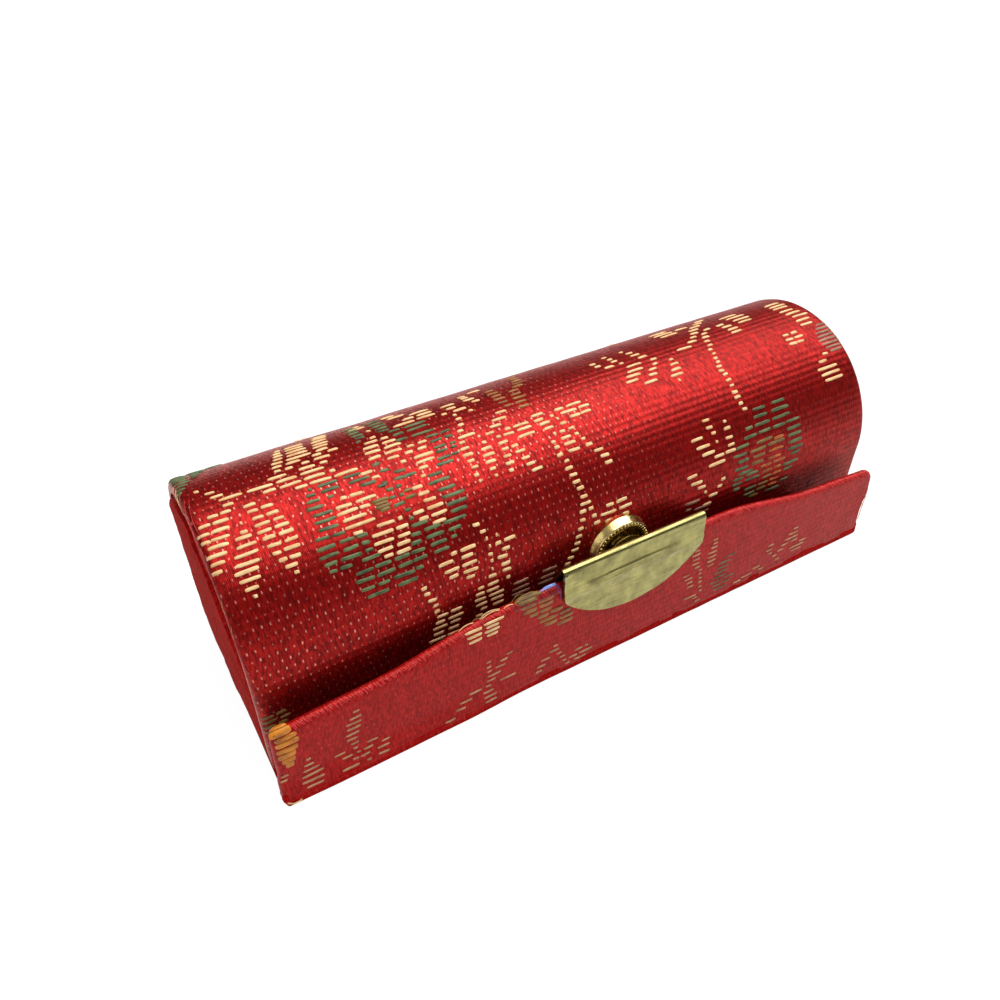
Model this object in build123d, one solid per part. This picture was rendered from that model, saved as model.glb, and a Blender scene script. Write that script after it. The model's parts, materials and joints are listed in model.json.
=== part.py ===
from build123d import *
from math import cos, radians, sin
import os

# Brocade case lying on its flat lid, in millimetres. X runs along the case, the flap is at -Y,
# the table is at Z = 0 and the origin lies on the table below the axis of the round barrel.

# Driving sizes of the case
case_length = 90.0
barrel_radius = 15.4
barrel_axis_height = 14.9
wall_lean = 1.8                # degrees that the straight walls lean in towards the rim

# Sheets that the case is made of
brocade = 0.35
satin = 0.3
barrel_board_thickness = 1.1
end_board_thickness = 0.85
lid_board_thickness = 1.0
flap_board_thickness = 0.55
hem_width = 3.5
end_edge_bevel = 0.25          # where each end's cloth turns into the barrel

# Clearances and cuts
rim_clearance = 0.3            # barrel's rim above the lid
fold_clearance = 0.22          # round the two cloth folds
seam_clearance = 0.05          # between the hems of the ends and of the barrel
overrun = 1.0

# Cloth folds that act as hinges
hinge_fold_radius = 0.45
hinge_inset = 0.3              # from the barrel's widest line forward to the hinge's axis
hinge_drop = 0.35              # from the lid's inner face down to the hinge's axis

# Mirror on the lid's inner face
mirror_end_margin = 7.0        # from the case's end to the mirror's end
mirror_side_margin = 4.4       # from the barrel's widest line in to the mirror's long side
mirror_thickness = 1.3
mirror_bevel = 0.33
mirror_paint = 0.15
mirror_corner = 1.5
tape_thickness = 0.3
tape_width = 6.0
tape_end_margin = 8.0          # from the mirror's end to the tape's end
tape_side_margin = 2.0

# Flap's outline, seen from the front
flap_crown_rise = 0.9          # from the button's centre up to the flap's crown
flap_shoulder_drop = 2.7       # from the crown down to the shoulder and to the end
flap_end_drop = 3.9
flap_crown_reach = 18.0
flap_shoulder_reach = 31.0
flap_sweep_radius = 26.0
flap_corner_radius = 1.5
flap_edge_round = 0.5

# Clasp: clip on the flap and press button on the barrel share one centre line
clasp_offset = 1.4             # to the right of the case's middle
brass_sheet = 0.35
clip_width = 21.1
clip_outer_reach = 7.2         # from the flap's crown down to the foot of each leaf
clip_inner_reach = 6.4
clip_foot_radius = 13.8
clip_corner_radius = 2.0
clip_fold_rise = 1.78          # from the flap's crown up to the centre of the fold
clip_fold_radius = 0.58
clip_knee_rise = 0.3
clip_ridge_radius = 0.3
clip_ridge_rise = 0.12
clip_ridge_drop = 0.2          # from the flap's crown down to the first ridge
clip_ridge_spacing = 0.9
clasp_gap = 0.65               # between the button's face and the clip's inner leaf

button_lift = 0.1              # from the barrel's axis up to the button's centre
button_base_radius = 4.4
button_taper = 0.25
button_rise = 1.15
button_skirt = 1.2
button_edge_round = 0.2
cup_lip = 0.17                 # between the cup's rim and the bead ring
cup_depth = 0.95
bead_inset = 0.14              # from the button's edge in to the bead ring
bead_radius = 0.27
bead_count = 34
bead_bevel_share = 0.45        # of the bead's radius, left flat beside its bevels
bead_notch_depth = 0.15
bead_notch_angle = 70.0
bead_groove = 0.3
rivet_radius = 0.9
rivet_head_lap = 0.6
rivet_head_thickness = 0.22
rivet_fit = 0.02
washer_radius = 3.0
washer_thickness = 0.5
stud_radius = 2.2
stud_flange = 0.4
stud_flange_thickness = 0.25
stud_engagement = 0.35

# Places that follow from the sizes above
lid_top = brocade + lid_board_thickness + brocade
rim_height = lid_top + rim_clearance
tube_half = case_length / 2 - brocade - end_board_thickness
board_inset = brocade + barrel_board_thickness
bore_inset = board_inset + brocade
flap_thickness = brocade + flap_board_thickness + brocade
flap_face_depth = barrel_radius + button_rise + clasp_gap + brass_sheet + flap_thickness
crease_fold_radius = lid_top / 2
crease_depth = flap_face_depth - crease_fold_radius
hinge_fold_depth = barrel_radius - hinge_inset
hinge_fold_height = lid_top - hinge_drop
lid_front = -(crease_depth - crease_fold_radius)
lid_back = hinge_fold_depth - hinge_fold_radius
mirror_floor = brocade + lid_board_thickness + satin
mirror_length = case_length - 2 * mirror_end_margin
mirror_width = 2 * (barrel_radius - mirror_side_margin)
tape_length = mirror_length - 2 * tape_end_margin
tape_spacing = mirror_width - tape_width - 2 * tape_side_margin
button_height = barrel_axis_height + button_lift
button_face_radius = button_base_radius - button_taper
bead_ring_radius = button_face_radius - bead_inset - bead_radius
cup_radius = bead_ring_radius - bead_radius - cup_lip
rivet_head_radius = rivet_radius + rivet_head_lap
stud_base_radius = stud_radius + stud_flange
flap_crown_height = button_height + flap_crown_rise
flap_shoulder_height = flap_crown_height - flap_shoulder_drop
flap_end_height = flap_crown_height - flap_end_drop
flap_back = -(flap_face_depth - flap_thickness)
clip_front = -(flap_face_depth + brass_sheet)
clip_back = flap_back + brass_sheet
clip_fold_height = flap_crown_height + clip_fold_rise
clip_knee_height = flap_crown_height + clip_knee_rise
clip_foot_height = flap_crown_height - clip_outer_reach
clip_inner_foot_height = flap_crown_height - clip_inner_reach
clip_ridge_height = flap_crown_height - clip_ridge_drop


def block(low, high):
    size = [b - a for a, b in zip(low, high)]
    return Pos(*low) * Box(*size, align=(Align.MIN, Align.MIN, Align.MIN))


def arch(inset, foot, x_low, x_high):
    """Solid with the barrel's section, drawn in by inset and cut off level at foot."""
    radius = barrel_radius - inset
    lean = radians(wall_lean)
    spring = (radius * cos(lean), barrel_axis_height - radius * sin(lean))
    base = (spring[0] - (spring[1] - foot) * sin(lean) / cos(lean), foot)
    crown = (0, barrel_axis_height + radius)
    outline = [
        Line((-base[0], base[1]), (-spring[0], spring[1])),
        ThreePointArc((-spring[0], spring[1]), crown, spring),
        Line(spring, base),
        Line(base, (-base[0], base[1])),
    ]
    face = Plane.YZ * make_face(outline)
    return Pos(x_low, 0, 0) * extrude(face, amount=x_high - x_low)


def arch_shell(inset, thickness, foot, x_low, x_high):
    outer = arch(inset, foot, x_low, x_high)
    inner = arch(inset + thickness, foot - overrun, x_low - overrun, x_high + overrun)
    return outer - inner


def below(height):
    reach = case_length
    return block((-reach, -reach, -reach), (reach, reach, height))


# Lid

def lid_cover():
    half = case_length / 2
    sleeve = block((-half, lid_front, 0), (half, lid_back, lid_top))
    sleeve -= lid_board()
    top = lid_top + overrun
    window = block((-half + hem_width, lid_front + hem_width, brocade + lid_board_thickness),
                   (half - hem_width, lid_back - hem_width, top))
    return sleeve - window


def lid_board():
    half = case_length / 2 - brocade
    return block((-half, lid_front + brocade, brocade),
                 (half, lid_back - brocade, brocade + lid_board_thickness))


def lid_lining():
    half = case_length / 2 - hem_width
    floor = brocade + lid_board_thickness
    return block((-half, lid_front + hem_width, floor), (half, lid_back - hem_width, floor + satin))


def mirror_tape():
    strips = [
        Pos(0, side * tape_spacing / 2, mirror_floor)
        * Box(tape_length, tape_width, tape_thickness, align=(Align.CENTER, Align.CENTER, Align.MIN))
        for side in (-1, 1)
    ]
    return Compound(children=strips)


def mirror_sheet(floor, thickness):
    outline = RectangleRounded(mirror_length, mirror_width, mirror_corner)
    return Pos(0, 0, floor) * extrude(outline, amount=thickness)


def mirror_backing():
    return mirror_sheet(mirror_floor + tape_thickness, mirror_paint)


def mirror_glass():
    glass = mirror_sheet(mirror_floor + tape_thickness + mirror_paint, mirror_thickness)
    rim = glass.faces().sort_by(Axis.Z)[-1].edges()
    return chamfer(rim, mirror_bevel)


def cloth_fold(radius, depth, height):
    roll = Cylinder(radius, case_length, rotation=(0, 90, 0))
    return Pos(0, depth, height) * roll


def hinge_cloth():
    return cloth_fold(hinge_fold_radius, hinge_fold_depth, hinge_fold_height)


def crease_cloth():
    return cloth_fold(crease_fold_radius, -crease_depth, crease_fold_radius)


# Barrel

def barrel_board():
    half = case_length / 2 - brocade
    tube = arch_shell(brocade, barrel_board_thickness, rim_height + brocade, -half, half)
    return tube - rivet_hole()


def barrel_cover():
    """Cloth round the barrel, turned over the board's ends and its rim and up inside as a hem."""
    half = case_length / 2
    sleeve = arch_shell(0, brocade, rim_height, -half, half)
    sleeve += arch_shell(0, board_inset, rim_height, -half, half) & below(rim_height + brocade)
    hem = arch_shell(board_inset, brocade, rim_height, -tube_half, tube_half)
    sleeve += hem & below(rim_height + hem_width)
    for side in (-1, 1):
        low, high = sorted((side * (half - brocade), side * half))
        sleeve += arch_shell(0, board_inset, rim_height, low, high)
    return sleeve - rivet_hole()


def barrel_lining():
    shell = arch_shell(board_inset, satin, rim_height + hem_width, -tube_half, tube_half)
    return shell - rivet_hole()


def end_board(side):
    """Card set inside the barrel's end, with room for its own cloth round its edge."""
    outer = case_length / 2 - brocade
    low, high = sorted((side * tube_half, side * outer))
    return arch(bore_inset, rim_height + brocade, low, high)


def end_cover(side):
    low, high = sorted((side * tube_half, side * case_length / 2))
    cap = arch(board_inset, rim_height, low, high)
    outer_face = cap.faces().sort_by(Axis.X)[0 if side < 0 else -1]
    cap = chamfer(outer_face.edges(), end_edge_bevel) - end_board(side)
    low, high = sorted((side * tube_half, side * (tube_half - brocade)))
    hem = arch(bore_inset + seam_clearance, rim_height, low, high) & below(rim_height + hem_width)
    return cap + hem


def end_lining(side):
    low, high = sorted((side * tube_half, side * (tube_half - satin)))
    return arch(bore_inset, rim_height + hem_width, low, high)


# Press button on the barrel's front wall. Its pieces are turned about their own Z,
# which then points forward out of the wall.

button_seat = Plane(origin=(clasp_offset, -barrel_radius, button_height), x_dir=(1, 0, 0), z_dir=(0, -1, 0))


def turned(points):
    """Solid of revolution from (radius, height) points, set on the front wall."""
    profile = Plane.XZ * make_face(Polyline(*points, close=True))
    return button_seat.location * revolve(profile, Axis.Z)


def rivet_hole():
    reach = rivet_radius + rivet_fit
    return turned([(0, -barrel_radius), (reach, -barrel_radius), (reach, button_rise), (0, button_rise)])


def button_cap():
    cup_floor = button_rise - cup_depth
    groove_low = bead_ring_radius - bead_radius
    groove_high = bead_ring_radius + bead_radius
    face = button_rise - bead_groove / 2
    cap = turned([
        (0, -button_skirt),
        (button_base_radius, -button_skirt),
        (button_base_radius, 0),
        (button_face_radius, button_rise - button_edge_round),
        (button_face_radius - button_edge_round / 2, button_rise),
        (groove_high, button_rise),
        (groove_high, face),
        (groove_low, face),
        (groove_low, button_rise),
        (cup_radius, button_rise),
        (cup_radius - button_edge_round, cup_floor),
        (0, cup_floor),
    ])
    return cap - arch(0, 0, -tube_half, tube_half) - rivet_hole()


def button_beads():
    """Ring with a bevelled crown, cut into beads by V notches that run out from its centre."""
    seat = button_rise - bead_groove / 2
    shoulder = bead_radius * bead_bevel_share
    band = Polyline((-bead_radius, 0), (bead_radius, 0), (bead_radius, shoulder), (shoulder, bead_radius),
                    (-shoulder, bead_radius), (-bead_radius, shoulder), close=True)
    ring = revolve(Plane.XZ * (Pos(bead_ring_radius, 0) * make_face(band)), Axis.Z)
    notch_floor = bead_radius - bead_notch_depth
    notch_top = bead_radius + bead_notch_depth
    notch_half = 2 * bead_notch_depth * sin(radians(bead_notch_angle / 2))
    notch = Polyline((-notch_half, notch_top), (notch_half, notch_top), (0, notch_floor), close=True)
    cutter = extrude(Plane.YZ * make_face(notch), amount=4 * bead_radius)
    cutter = Pos(bead_ring_radius - 2 * bead_radius, 0, 0) * cutter
    cutters = [Rot(0, 0, step * 360 / bead_count) * cutter for step in range(bead_count)]
    return button_seat.location * Pos(0, 0, seat) * (ring - cutters)


def button_rivet():
    head_floor = button_rise - cup_depth
    tail = button_washer_face()
    return turned([
        (0, tail - rivet_head_thickness),
        (rivet_head_radius, tail - rivet_head_thickness),
        (rivet_head_radius, tail),
        (rivet_radius, tail),
        (rivet_radius, head_floor),
        (rivet_head_radius, head_floor),
        (rivet_head_radius - rivet_head_thickness / 2, head_floor + rivet_head_thickness),
        (0, head_floor + rivet_head_thickness),
    ])


def button_washer_face():
    """Height of the washer's inner face, where the curved lining leaves it a full rim."""
    bore = barrel_radius - board_inset - satin
    level = button_height - barrel_axis_height
    seat_depth = (bore ** 2 - (washer_radius + level) ** 2) ** 0.5
    return -(barrel_radius - seat_depth) - washer_thickness


def button_washer():
    face = button_washer_face()
    hole = rivet_radius + rivet_fit
    disc = turned([(hole, face), (washer_radius, face), (washer_radius, 0), (hole, 0)])
    return disc & arch(board_inset + satin, rim_height, -tube_half, tube_half)


# Flap

def flap_outline(inset):
    half = case_length / 2
    corners = [
        (-half, 0),
        (-half, flap_end_height),
        (-flap_shoulder_reach, flap_shoulder_height),
        (-flap_crown_reach, flap_crown_height),
        (flap_crown_reach, flap_crown_height),
        (flap_shoulder_reach, flap_shoulder_height),
        (half, flap_end_height),
        (half, 0),
    ]
    sweeps = [flap_corner_radius] + 4 * [flap_sweep_radius] + [flap_corner_radius]
    outline = make_face(FilletPolyline(*corners, radius=[0] + sweeps + [0], close=True))
    return offset(outline, -inset) if inset else outline


def flap_plate(inset, front, thickness):
    """Plate with the flap's outline drawn in by inset; front is its distance behind the flap's face."""
    face = Plane.XZ * flap_outline(inset)
    plate = extrude(face, amount=-thickness)
    return Pos(0, front - flap_face_depth, 0) * plate


def fold_room():
    radius = crease_fold_radius + fold_clearance
    roll = Cylinder(radius, case_length + overrun, rotation=(0, 90, 0))
    return Pos(0, -crease_depth, crease_fold_radius) * roll + below(crease_fold_radius)


def flap_cover():
    sleeve = flap_plate(0, 0, flap_thickness)
    top = [edge for edge in sleeve.edges() if edge.center().Z > crease_fold_radius]
    level = [edge for edge in top if abs((edge @ 0 - edge @ 1).Y) < flap_thickness / 2]
    sleeve = fillet(level, flap_edge_round)
    sleeve -= flap_plate(brocade, brocade, flap_board_thickness)
    sleeve -= flap_plate(hem_width, brocade + flap_board_thickness, flap_thickness)
    return sleeve - fold_room()


def flap_board():
    return flap_plate(brocade, brocade, flap_board_thickness) - fold_room()


def flap_lining():
    return flap_plate(hem_width, brocade + flap_board_thickness, satin) - fold_room()


# Clasp

def clip_section():
    """Section of the folded sheet in YZ: outer leaf, round fold, slanting neck, inner leaf."""
    fold_y = clip_front + clip_fold_radius
    inner_radius = clip_fold_radius - brass_sheet
    neck_out = fold_y + clip_fold_radius
    neck_in = fold_y + inner_radius
    fold_z = clip_fold_height
    lines = [
        Line((clip_front, 0), (clip_front, fold_z)),
        ThreePointArc((clip_front, fold_z), (fold_y, fold_z + clip_fold_radius), (neck_out, fold_z)),
        Line((neck_out, fold_z), (clip_back, clip_knee_height)),
        Line((clip_back, clip_knee_height), (clip_back, clip_inner_foot_height)),
        Line((clip_back, clip_inner_foot_height), (flap_back, clip_inner_foot_height)),
        Line((flap_back, clip_inner_foot_height), (flap_back, clip_knee_height)),
        Line((flap_back, clip_knee_height), (neck_in, fold_z)),
        ThreePointArc((neck_in, fold_z), (fold_y, fold_z + inner_radius), (fold_y - inner_radius, fold_z)),
        Line((fold_y - inner_radius, fold_z), (fold_y - inner_radius, 0)),
        Line((fold_y - inner_radius, 0), (clip_front, 0)),
    ]
    return Plane.YZ * make_face(lines)


def clip_outline():
    """Front view of the clip: straight sides and a round foot, its corners rounded."""
    half = clip_width / 2
    top = clip_fold_height + 2 * clip_fold_radius
    foot_centre = clip_foot_height + clip_foot_radius
    upper = Pos(0, foot_centre) * Rectangle(clip_width, 2 * clip_foot_radius)
    disc = Pos(0, foot_centre) * Circle(clip_foot_radius)
    outline = upper & disc
    outline &= Pos(0, top - clip_foot_radius) * Rectangle(clip_width, 2 * clip_foot_radius)
    sides = (clip_foot_radius ** 2 - half ** 2) ** 0.5
    corners = [v for v in outline.vertices() if abs(v.Y - (foot_centre - sides)) < clip_corner_radius]
    return fillet(corners, clip_corner_radius)


def clasp_clip():
    half = clip_width / 2
    sheet = extrude(clip_section(), amount=clip_width)
    sheet = Pos(-half, 0, 0) * sheet
    for height in (clip_ridge_height, clip_ridge_height - clip_ridge_spacing):
        sink = clip_ridge_radius - clip_ridge_rise
        ridge = Cylinder(clip_ridge_radius, clip_width, rotation=(0, 90, 0))
        sheet += Pos(0, clip_front + sink, height) * ridge
    sheet -= block((-half, -flap_face_depth, 0), (half, flap_back, clip_knee_height))
    depth = clip_back - clip_front + 2 * overrun
    front = Pos(0, clip_front - overrun, 0) * extrude(Plane.XZ * clip_outline(), amount=-depth)
    return Pos(clasp_offset, 0, 0) * (sheet & front)


def clasp_stud():
    base = -(clip_back + barrel_radius)
    tip = button_rise - stud_engagement
    shoulder = base - stud_flange_thickness
    rise = shoulder - tip
    ball = (stud_radius ** 2 + rise ** 2) / (2 * rise)
    outline = [
        Line((0, base), (stud_base_radius, base)),
        Line((stud_base_radius, base), (stud_base_radius, shoulder)),
        Line((stud_base_radius, shoulder), (stud_radius, shoulder)),
        ThreePointArc((stud_radius, shoulder), dome_point(ball, tip, stud_radius / 2), (0, tip)),
        Line((0, tip), (0, base)),
    ]
    profile = Plane.XZ * make_face(outline)
    return button_seat.location * revolve(profile, Axis.Z)


def dome_point(ball, tip, reach):
    return (reach, tip + ball - (ball ** 2 - reach ** 2) ** 0.5)


pieces = {
    "lid_cover": lid_cover(),
    "lid_board": lid_board(),
    "lid_lining": lid_lining(),
    "mirror_tape": mirror_tape(),
    "mirror_backing": mirror_backing(),
    "mirror_glass": mirror_glass(),
    "hinge_cloth": hinge_cloth(),
    "crease_cloth": crease_cloth(),
    "barrel_cover": barrel_cover(),
    "barrel_board": barrel_board(),
    "barrel_lining": barrel_lining(),
    "end_board_left": end_board(-1),
    "end_board_right": end_board(1),
    "end_cover_left": end_cover(-1),
    "end_cover_right": end_cover(1),
    "end_lining_left": end_lining(-1),
    "end_lining_right": end_lining(1),
    "button_cap": button_cap(),
    "button_beads": button_beads(),
    "button_rivet": button_rivet(),
    "button_washer": button_washer(),
    "flap_cover": flap_cover(),
    "flap_board": flap_board(),
    "flap_lining": flap_lining(),
    "clasp_clip": clasp_clip(),
    "clasp_stud": clasp_stud(),
}

os.makedirs("parts", exist_ok=True)
for name, solid in pieces.items():
    export_step(solid, f"parts/{name}.step")
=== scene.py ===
import json
from math import atan2, ceil, copysign, cos, degrees, exp, hypot, pi, radians, sin, sqrt, tan
from random import Random

import bmesh
import bpy
from mathutils import Matrix, Vector, noise


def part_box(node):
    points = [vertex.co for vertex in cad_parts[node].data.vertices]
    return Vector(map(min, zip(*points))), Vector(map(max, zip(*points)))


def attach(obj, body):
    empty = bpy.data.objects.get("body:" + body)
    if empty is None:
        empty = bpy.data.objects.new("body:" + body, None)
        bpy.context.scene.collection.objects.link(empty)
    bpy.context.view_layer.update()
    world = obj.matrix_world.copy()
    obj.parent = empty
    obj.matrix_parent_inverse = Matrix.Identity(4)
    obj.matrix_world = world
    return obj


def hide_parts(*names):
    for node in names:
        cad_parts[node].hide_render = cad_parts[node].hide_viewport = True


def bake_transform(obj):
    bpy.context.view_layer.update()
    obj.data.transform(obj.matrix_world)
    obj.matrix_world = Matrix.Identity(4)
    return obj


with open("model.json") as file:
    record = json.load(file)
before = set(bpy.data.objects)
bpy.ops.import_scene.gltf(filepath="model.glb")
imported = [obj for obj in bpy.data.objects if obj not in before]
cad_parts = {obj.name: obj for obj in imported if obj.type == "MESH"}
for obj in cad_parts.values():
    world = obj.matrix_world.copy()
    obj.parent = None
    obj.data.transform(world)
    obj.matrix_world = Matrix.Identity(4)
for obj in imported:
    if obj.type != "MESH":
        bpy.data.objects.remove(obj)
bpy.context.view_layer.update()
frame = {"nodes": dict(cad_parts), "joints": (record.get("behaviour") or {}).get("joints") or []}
mm = 0.001

# Sizes read from the frame, in millimetres


def nodeBox(node):
    low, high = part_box(node)
    return low / mm, high / mm


barrelLow, barrelHigh = nodeBox("barrel_cover")
lidLow, lidHigh = nodeBox("lid_cover")
flapLow, flapHigh = nodeBox("flap_cover")
clipLow, clipHigh = nodeBox("clasp_clip")
caseHalf = barrelHigh.x
barrelRadius = barrelHigh.y
barrelAxis = barrelHigh.z - barrelRadius
rimHeight = barrelLow.z
clothGauge = barrelHigh.z - nodeBox("barrel_board")[1].z


# Camera, where the photograph was taken from

view = {"focal": 30.52, "sensor": 36.0, "place": (-50.897, -77.296, 84.357),
        "yaw": 29.864, "pitch": 37.860, "roll": -0.930}


def placeCamera():
    yaw, pitch, roll = (radians(view[k]) for k in ("yaw", "pitch", "roll"))
    ahead = Vector((sin(yaw) * cos(pitch), cos(yaw) * cos(pitch), -sin(pitch)))
    level = Vector((cos(yaw), -sin(yaw), 0))
    rise = level.cross(ahead)
    right = cos(roll) * level + sin(roll) * rise
    up = cos(roll) * rise - sin(roll) * level
    lens = bpy.data.cameras.new("camera")
    lens.lens = view["focal"]
    lens.sensor_width = view["sensor"]
    lens.clip_start = 0.005
    camera = bpy.data.objects.new("camera", lens)
    turn = Matrix((right, up, -ahead)).transposed().to_4x4()
    camera.matrix_world = Matrix.Translation(Vector(view["place"]) * mm) @ turn
    bpy.context.scene.collection.objects.link(camera)
    bpy.context.scene.camera = camera


placeCamera()
bpy.context.scene.view_settings.view_transform = "Standard"
print("camera placed")


# Meshes. Every one is closed, with its faces turned outwards

def addObject(name, verts, faces, material, coords=None, sharp=40):
    data = bpy.data.meshes.new(name)
    data.from_pydata([tuple(c * mm for c in v) for v in verts], [], faces)
    solid = bmesh.new()
    solid.from_mesh(data)
    bmesh.ops.recalc_face_normals(solid, faces=solid.faces)
    solid.to_mesh(data)
    solid.free()
    if coords:
        layer = data.uv_layers.new(name="weave")
        for loop in data.loops:
            layer.data[loop.index].uv = coords[loop.vertex_index]
    data.shade_smooth()
    data.set_sharp_from_angle(angle=radians(sharp))
    data.materials.append(material)
    piece = bpy.data.objects.new(name, data)
    bpy.context.scene.collection.objects.link(piece)
    return piece


def steps(low, high, pitch):
    count = max(1, round((high - low) / pitch))
    return [low + (high - low) * i / count for i in range(count + 1)]


def thickened(name, verts, faces, coords, gauge, material, inner=None):
    normals = [Vector() for v in verts]
    edges = {}
    for face in faces:
        a, b, c, d = (verts[k] for k in face)
        turn = (c - a).cross(d - b)
        for k in face:
            normals[k] += turn
        for pair in zip(face, face[1:] + face[:1]):
            edges[pair] = True
    count = len(verts)
    inner = inner or [v - n.normalized() * gauge for v, n in zip(verts, normals)]
    skin = faces + [tuple(count + k for k in reversed(face)) for face in faces]
    skin += [(b, a, count + a, count + b) for a, b in edges if (b, a) not in edges]
    return addObject(name, verts + inner, skin, material, coords + coords)


def gridFaces(wide, tall):
    corners = [j * wide + i for j in range(tall - 1) for i in range(wide - 1)]
    return [(k, k + 1, k + wide + 1, k + wide) for k in corners]


def tubeFaces(base, rings, count):    # rings of corners joined along a tube, with both its ends closed
    faces = []
    for j in range(rings - 1):
        for i in range(count):
            a, b = base + j * count + i, base + j * count + (i + 1) % count
            faces.append((a, b, b + count, a + count))
    last = base + (rings - 1) * count
    return faces + [tuple(reversed(range(base, base + count))), tuple(range(last, last + count))]


def clothSheet(name, us, vs, place, gauge, material, back=None):
    coords = [(u, v) for v in vs for u in us]
    verts = [Vector(place(u, v)) for u, v in coords]
    inner = [Vector(back(u, v)) for u, v in coords] if back else None
    return thickened(name, verts, gridFaces(len(us), len(vs)), coords, gauge, material, inner)


def wrappedPlate(name, plate, place, gauge, material):    # a flat face, then its edge, then a hem on the back
    columns, shares = plate["columns"], plate["shares"]
    low, high, edge, depth = plate["low"], plate["high"], plate["edge"], plate["depth"]
    wide, tall = len(columns), len(shares)
    coords = [(a, low(a) + (high(a) - low(a)) * w) for w in shares for a in columns]
    verts = [Vector(place(a, b, 0)) for a, b in coords]
    faces = gridFaces(wide, tall)
    right = [j * wide + wide - 1 for j in range(tall)]
    top = [(tall - 1) * wide + i for i in range(wide - 2, -1, -1)]
    left = [j * wide for j in range(tall - 2, -1, -1)]
    loop = right + top + left
    if plate["closed"]:
        loop += list(range(1, wide - 1))
    size = len(loop)
    arms = []
    for k in range(size):
        ahead, behind = (k + 1) % size, k - 1
        if not plate["closed"]:
            ahead, behind = min(k + 1, size - 1), max(k - 1, 0)
        travel = Vector(coords[loop[ahead]]) - Vector(coords[loop[behind]])
        arms.append(Vector((travel.y, -travel.x)).normalized())
    if not plate["closed"]:
        arms[0], arms[-1] = Vector((1, 0)), Vector((-1, 0))
    turns = (0.4, 0.8, 1.2, pi / 2)
    straight = depth - 2 * edge
    walk = [(edge * sin(t), edge * (1 - cos(t)), edge * t) for t in turns]
    walk += [(edge * cos(t), depth - edge + edge * sin(t), edge * pi / 2 + straight + edge * t)
             for t in (0,) + turns if straight > 0.01 or t > 0]
    inner = innerLine(plate)
    previous = loop
    for step in range(len(walk) + 2):
        current = []
        for k, arm in zip(range(size), arms):
            a, b = coords[loop[k]]
            if step < len(walk):
                reach, sink, run = walk[step]
                spot = (a + arm.x * reach, b + arm.y * reach)
                mark = (a + arm.x * run, b + arm.y * run)
            else:
                share = (step - len(walk) + 1) / 2
                spot = tuple(Vector((a, b)).lerp(Vector(inner[k]), share))
                mark = spot
                sink = depth
            current.append(len(verts))
            verts.append(Vector(place(*spot, sink)))
            coords.append(mark)
        for k in range(size if plate["closed"] else size - 1):
            n = (k + 1) % size
            faces.append((previous[k], current[k], current[n], previous[n]))
        previous = current
    return thickened(name, verts, faces, coords, gauge, material)


def innerLine(plate):
    wide, tall = len(plate["columns"]), len(plate["shares"])
    low, high, hem = plate["low"], plate["high"], plate["hem"]
    first, last = plate["columns"][0] + hem, plate["columns"][-1] - hem
    rise = hem if plate["closed"] else 0

    def across(i):
        return first + (last - first) * i / (wide - 1)

    def upright(a, j):
        return a, low(a) + rise + (high(a) - hem - low(a) - rise) * j / (tall - 1)
    right = [upright(last, j) for j in range(tall)]
    top = [(across(i), high(across(i)) - hem) for i in range(wide - 2, -1, -1)]
    left = [upright(first, j) for j in range(tall - 2, -1, -1)]
    bottom = [(across(i), low(across(i)) + hem) for i in range(1, wide - 1)] if plate["closed"] else []
    return right + top + left + bottom


def turnedPiece(name, profile, seat, material, turns=96, sharp=35):
    verts, faces, rings = [], [], []
    for r, h in profile:
        if r < 1e-6:
            rings.append([len(verts)])
            verts.append(seat(0, 0, h))
        else:
            rings.append(list(range(len(verts), len(verts) + turns)))
            verts += [seat(r * cos(2 * pi * k / turns), r * sin(2 * pi * k / turns), h) for k in range(turns)]
    for low, high in zip(rings, rings[1:]):
        for k in range(turns):
            a, b = low[k % len(low)], low[(k + 1) % len(low)]
            c, d = high[(k + 1) % len(high)], high[k % len(high)]
            corner = []
            for p in (a, b, c, d):
                if p not in corner:
                    corner.append(p)
            if len(corner) > 2:
                faces.append(tuple(corner))
    return addObject(name, verts, faces, material, sharp=sharp)


def roundedRoute(corners, radii, swing=12):
    points = [corners[0]]
    for before, corner, after, radius in zip(corners, corners[1:], corners[2:], radii):
        b, c, a = Vector(before), Vector(corner), Vector(after)
        arriving, leaving = (c - b).normalized(), (a - c).normalized()
        turn = arriving.angle_signed(leaving)
        if abs(turn) < 1e-4 or radius <= 0:
            points.append(tuple(c))
            continue
        start = c - arriving * radius * tan(abs(turn) / 2)
        side = Vector((arriving.y, -arriving.x)) * (1 if turn > 0 else -1)
        centre = start + side * radius
        count = max(2, ceil(degrees(abs(turn)) / swing))
        for k in range(count + 1):
            arm = start - centre
            arm.rotate(Matrix.Rotation(-turn * k / count, 2))
            points.append(tuple(centre + arm))
    points.append(corners[-1])
    return points


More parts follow.
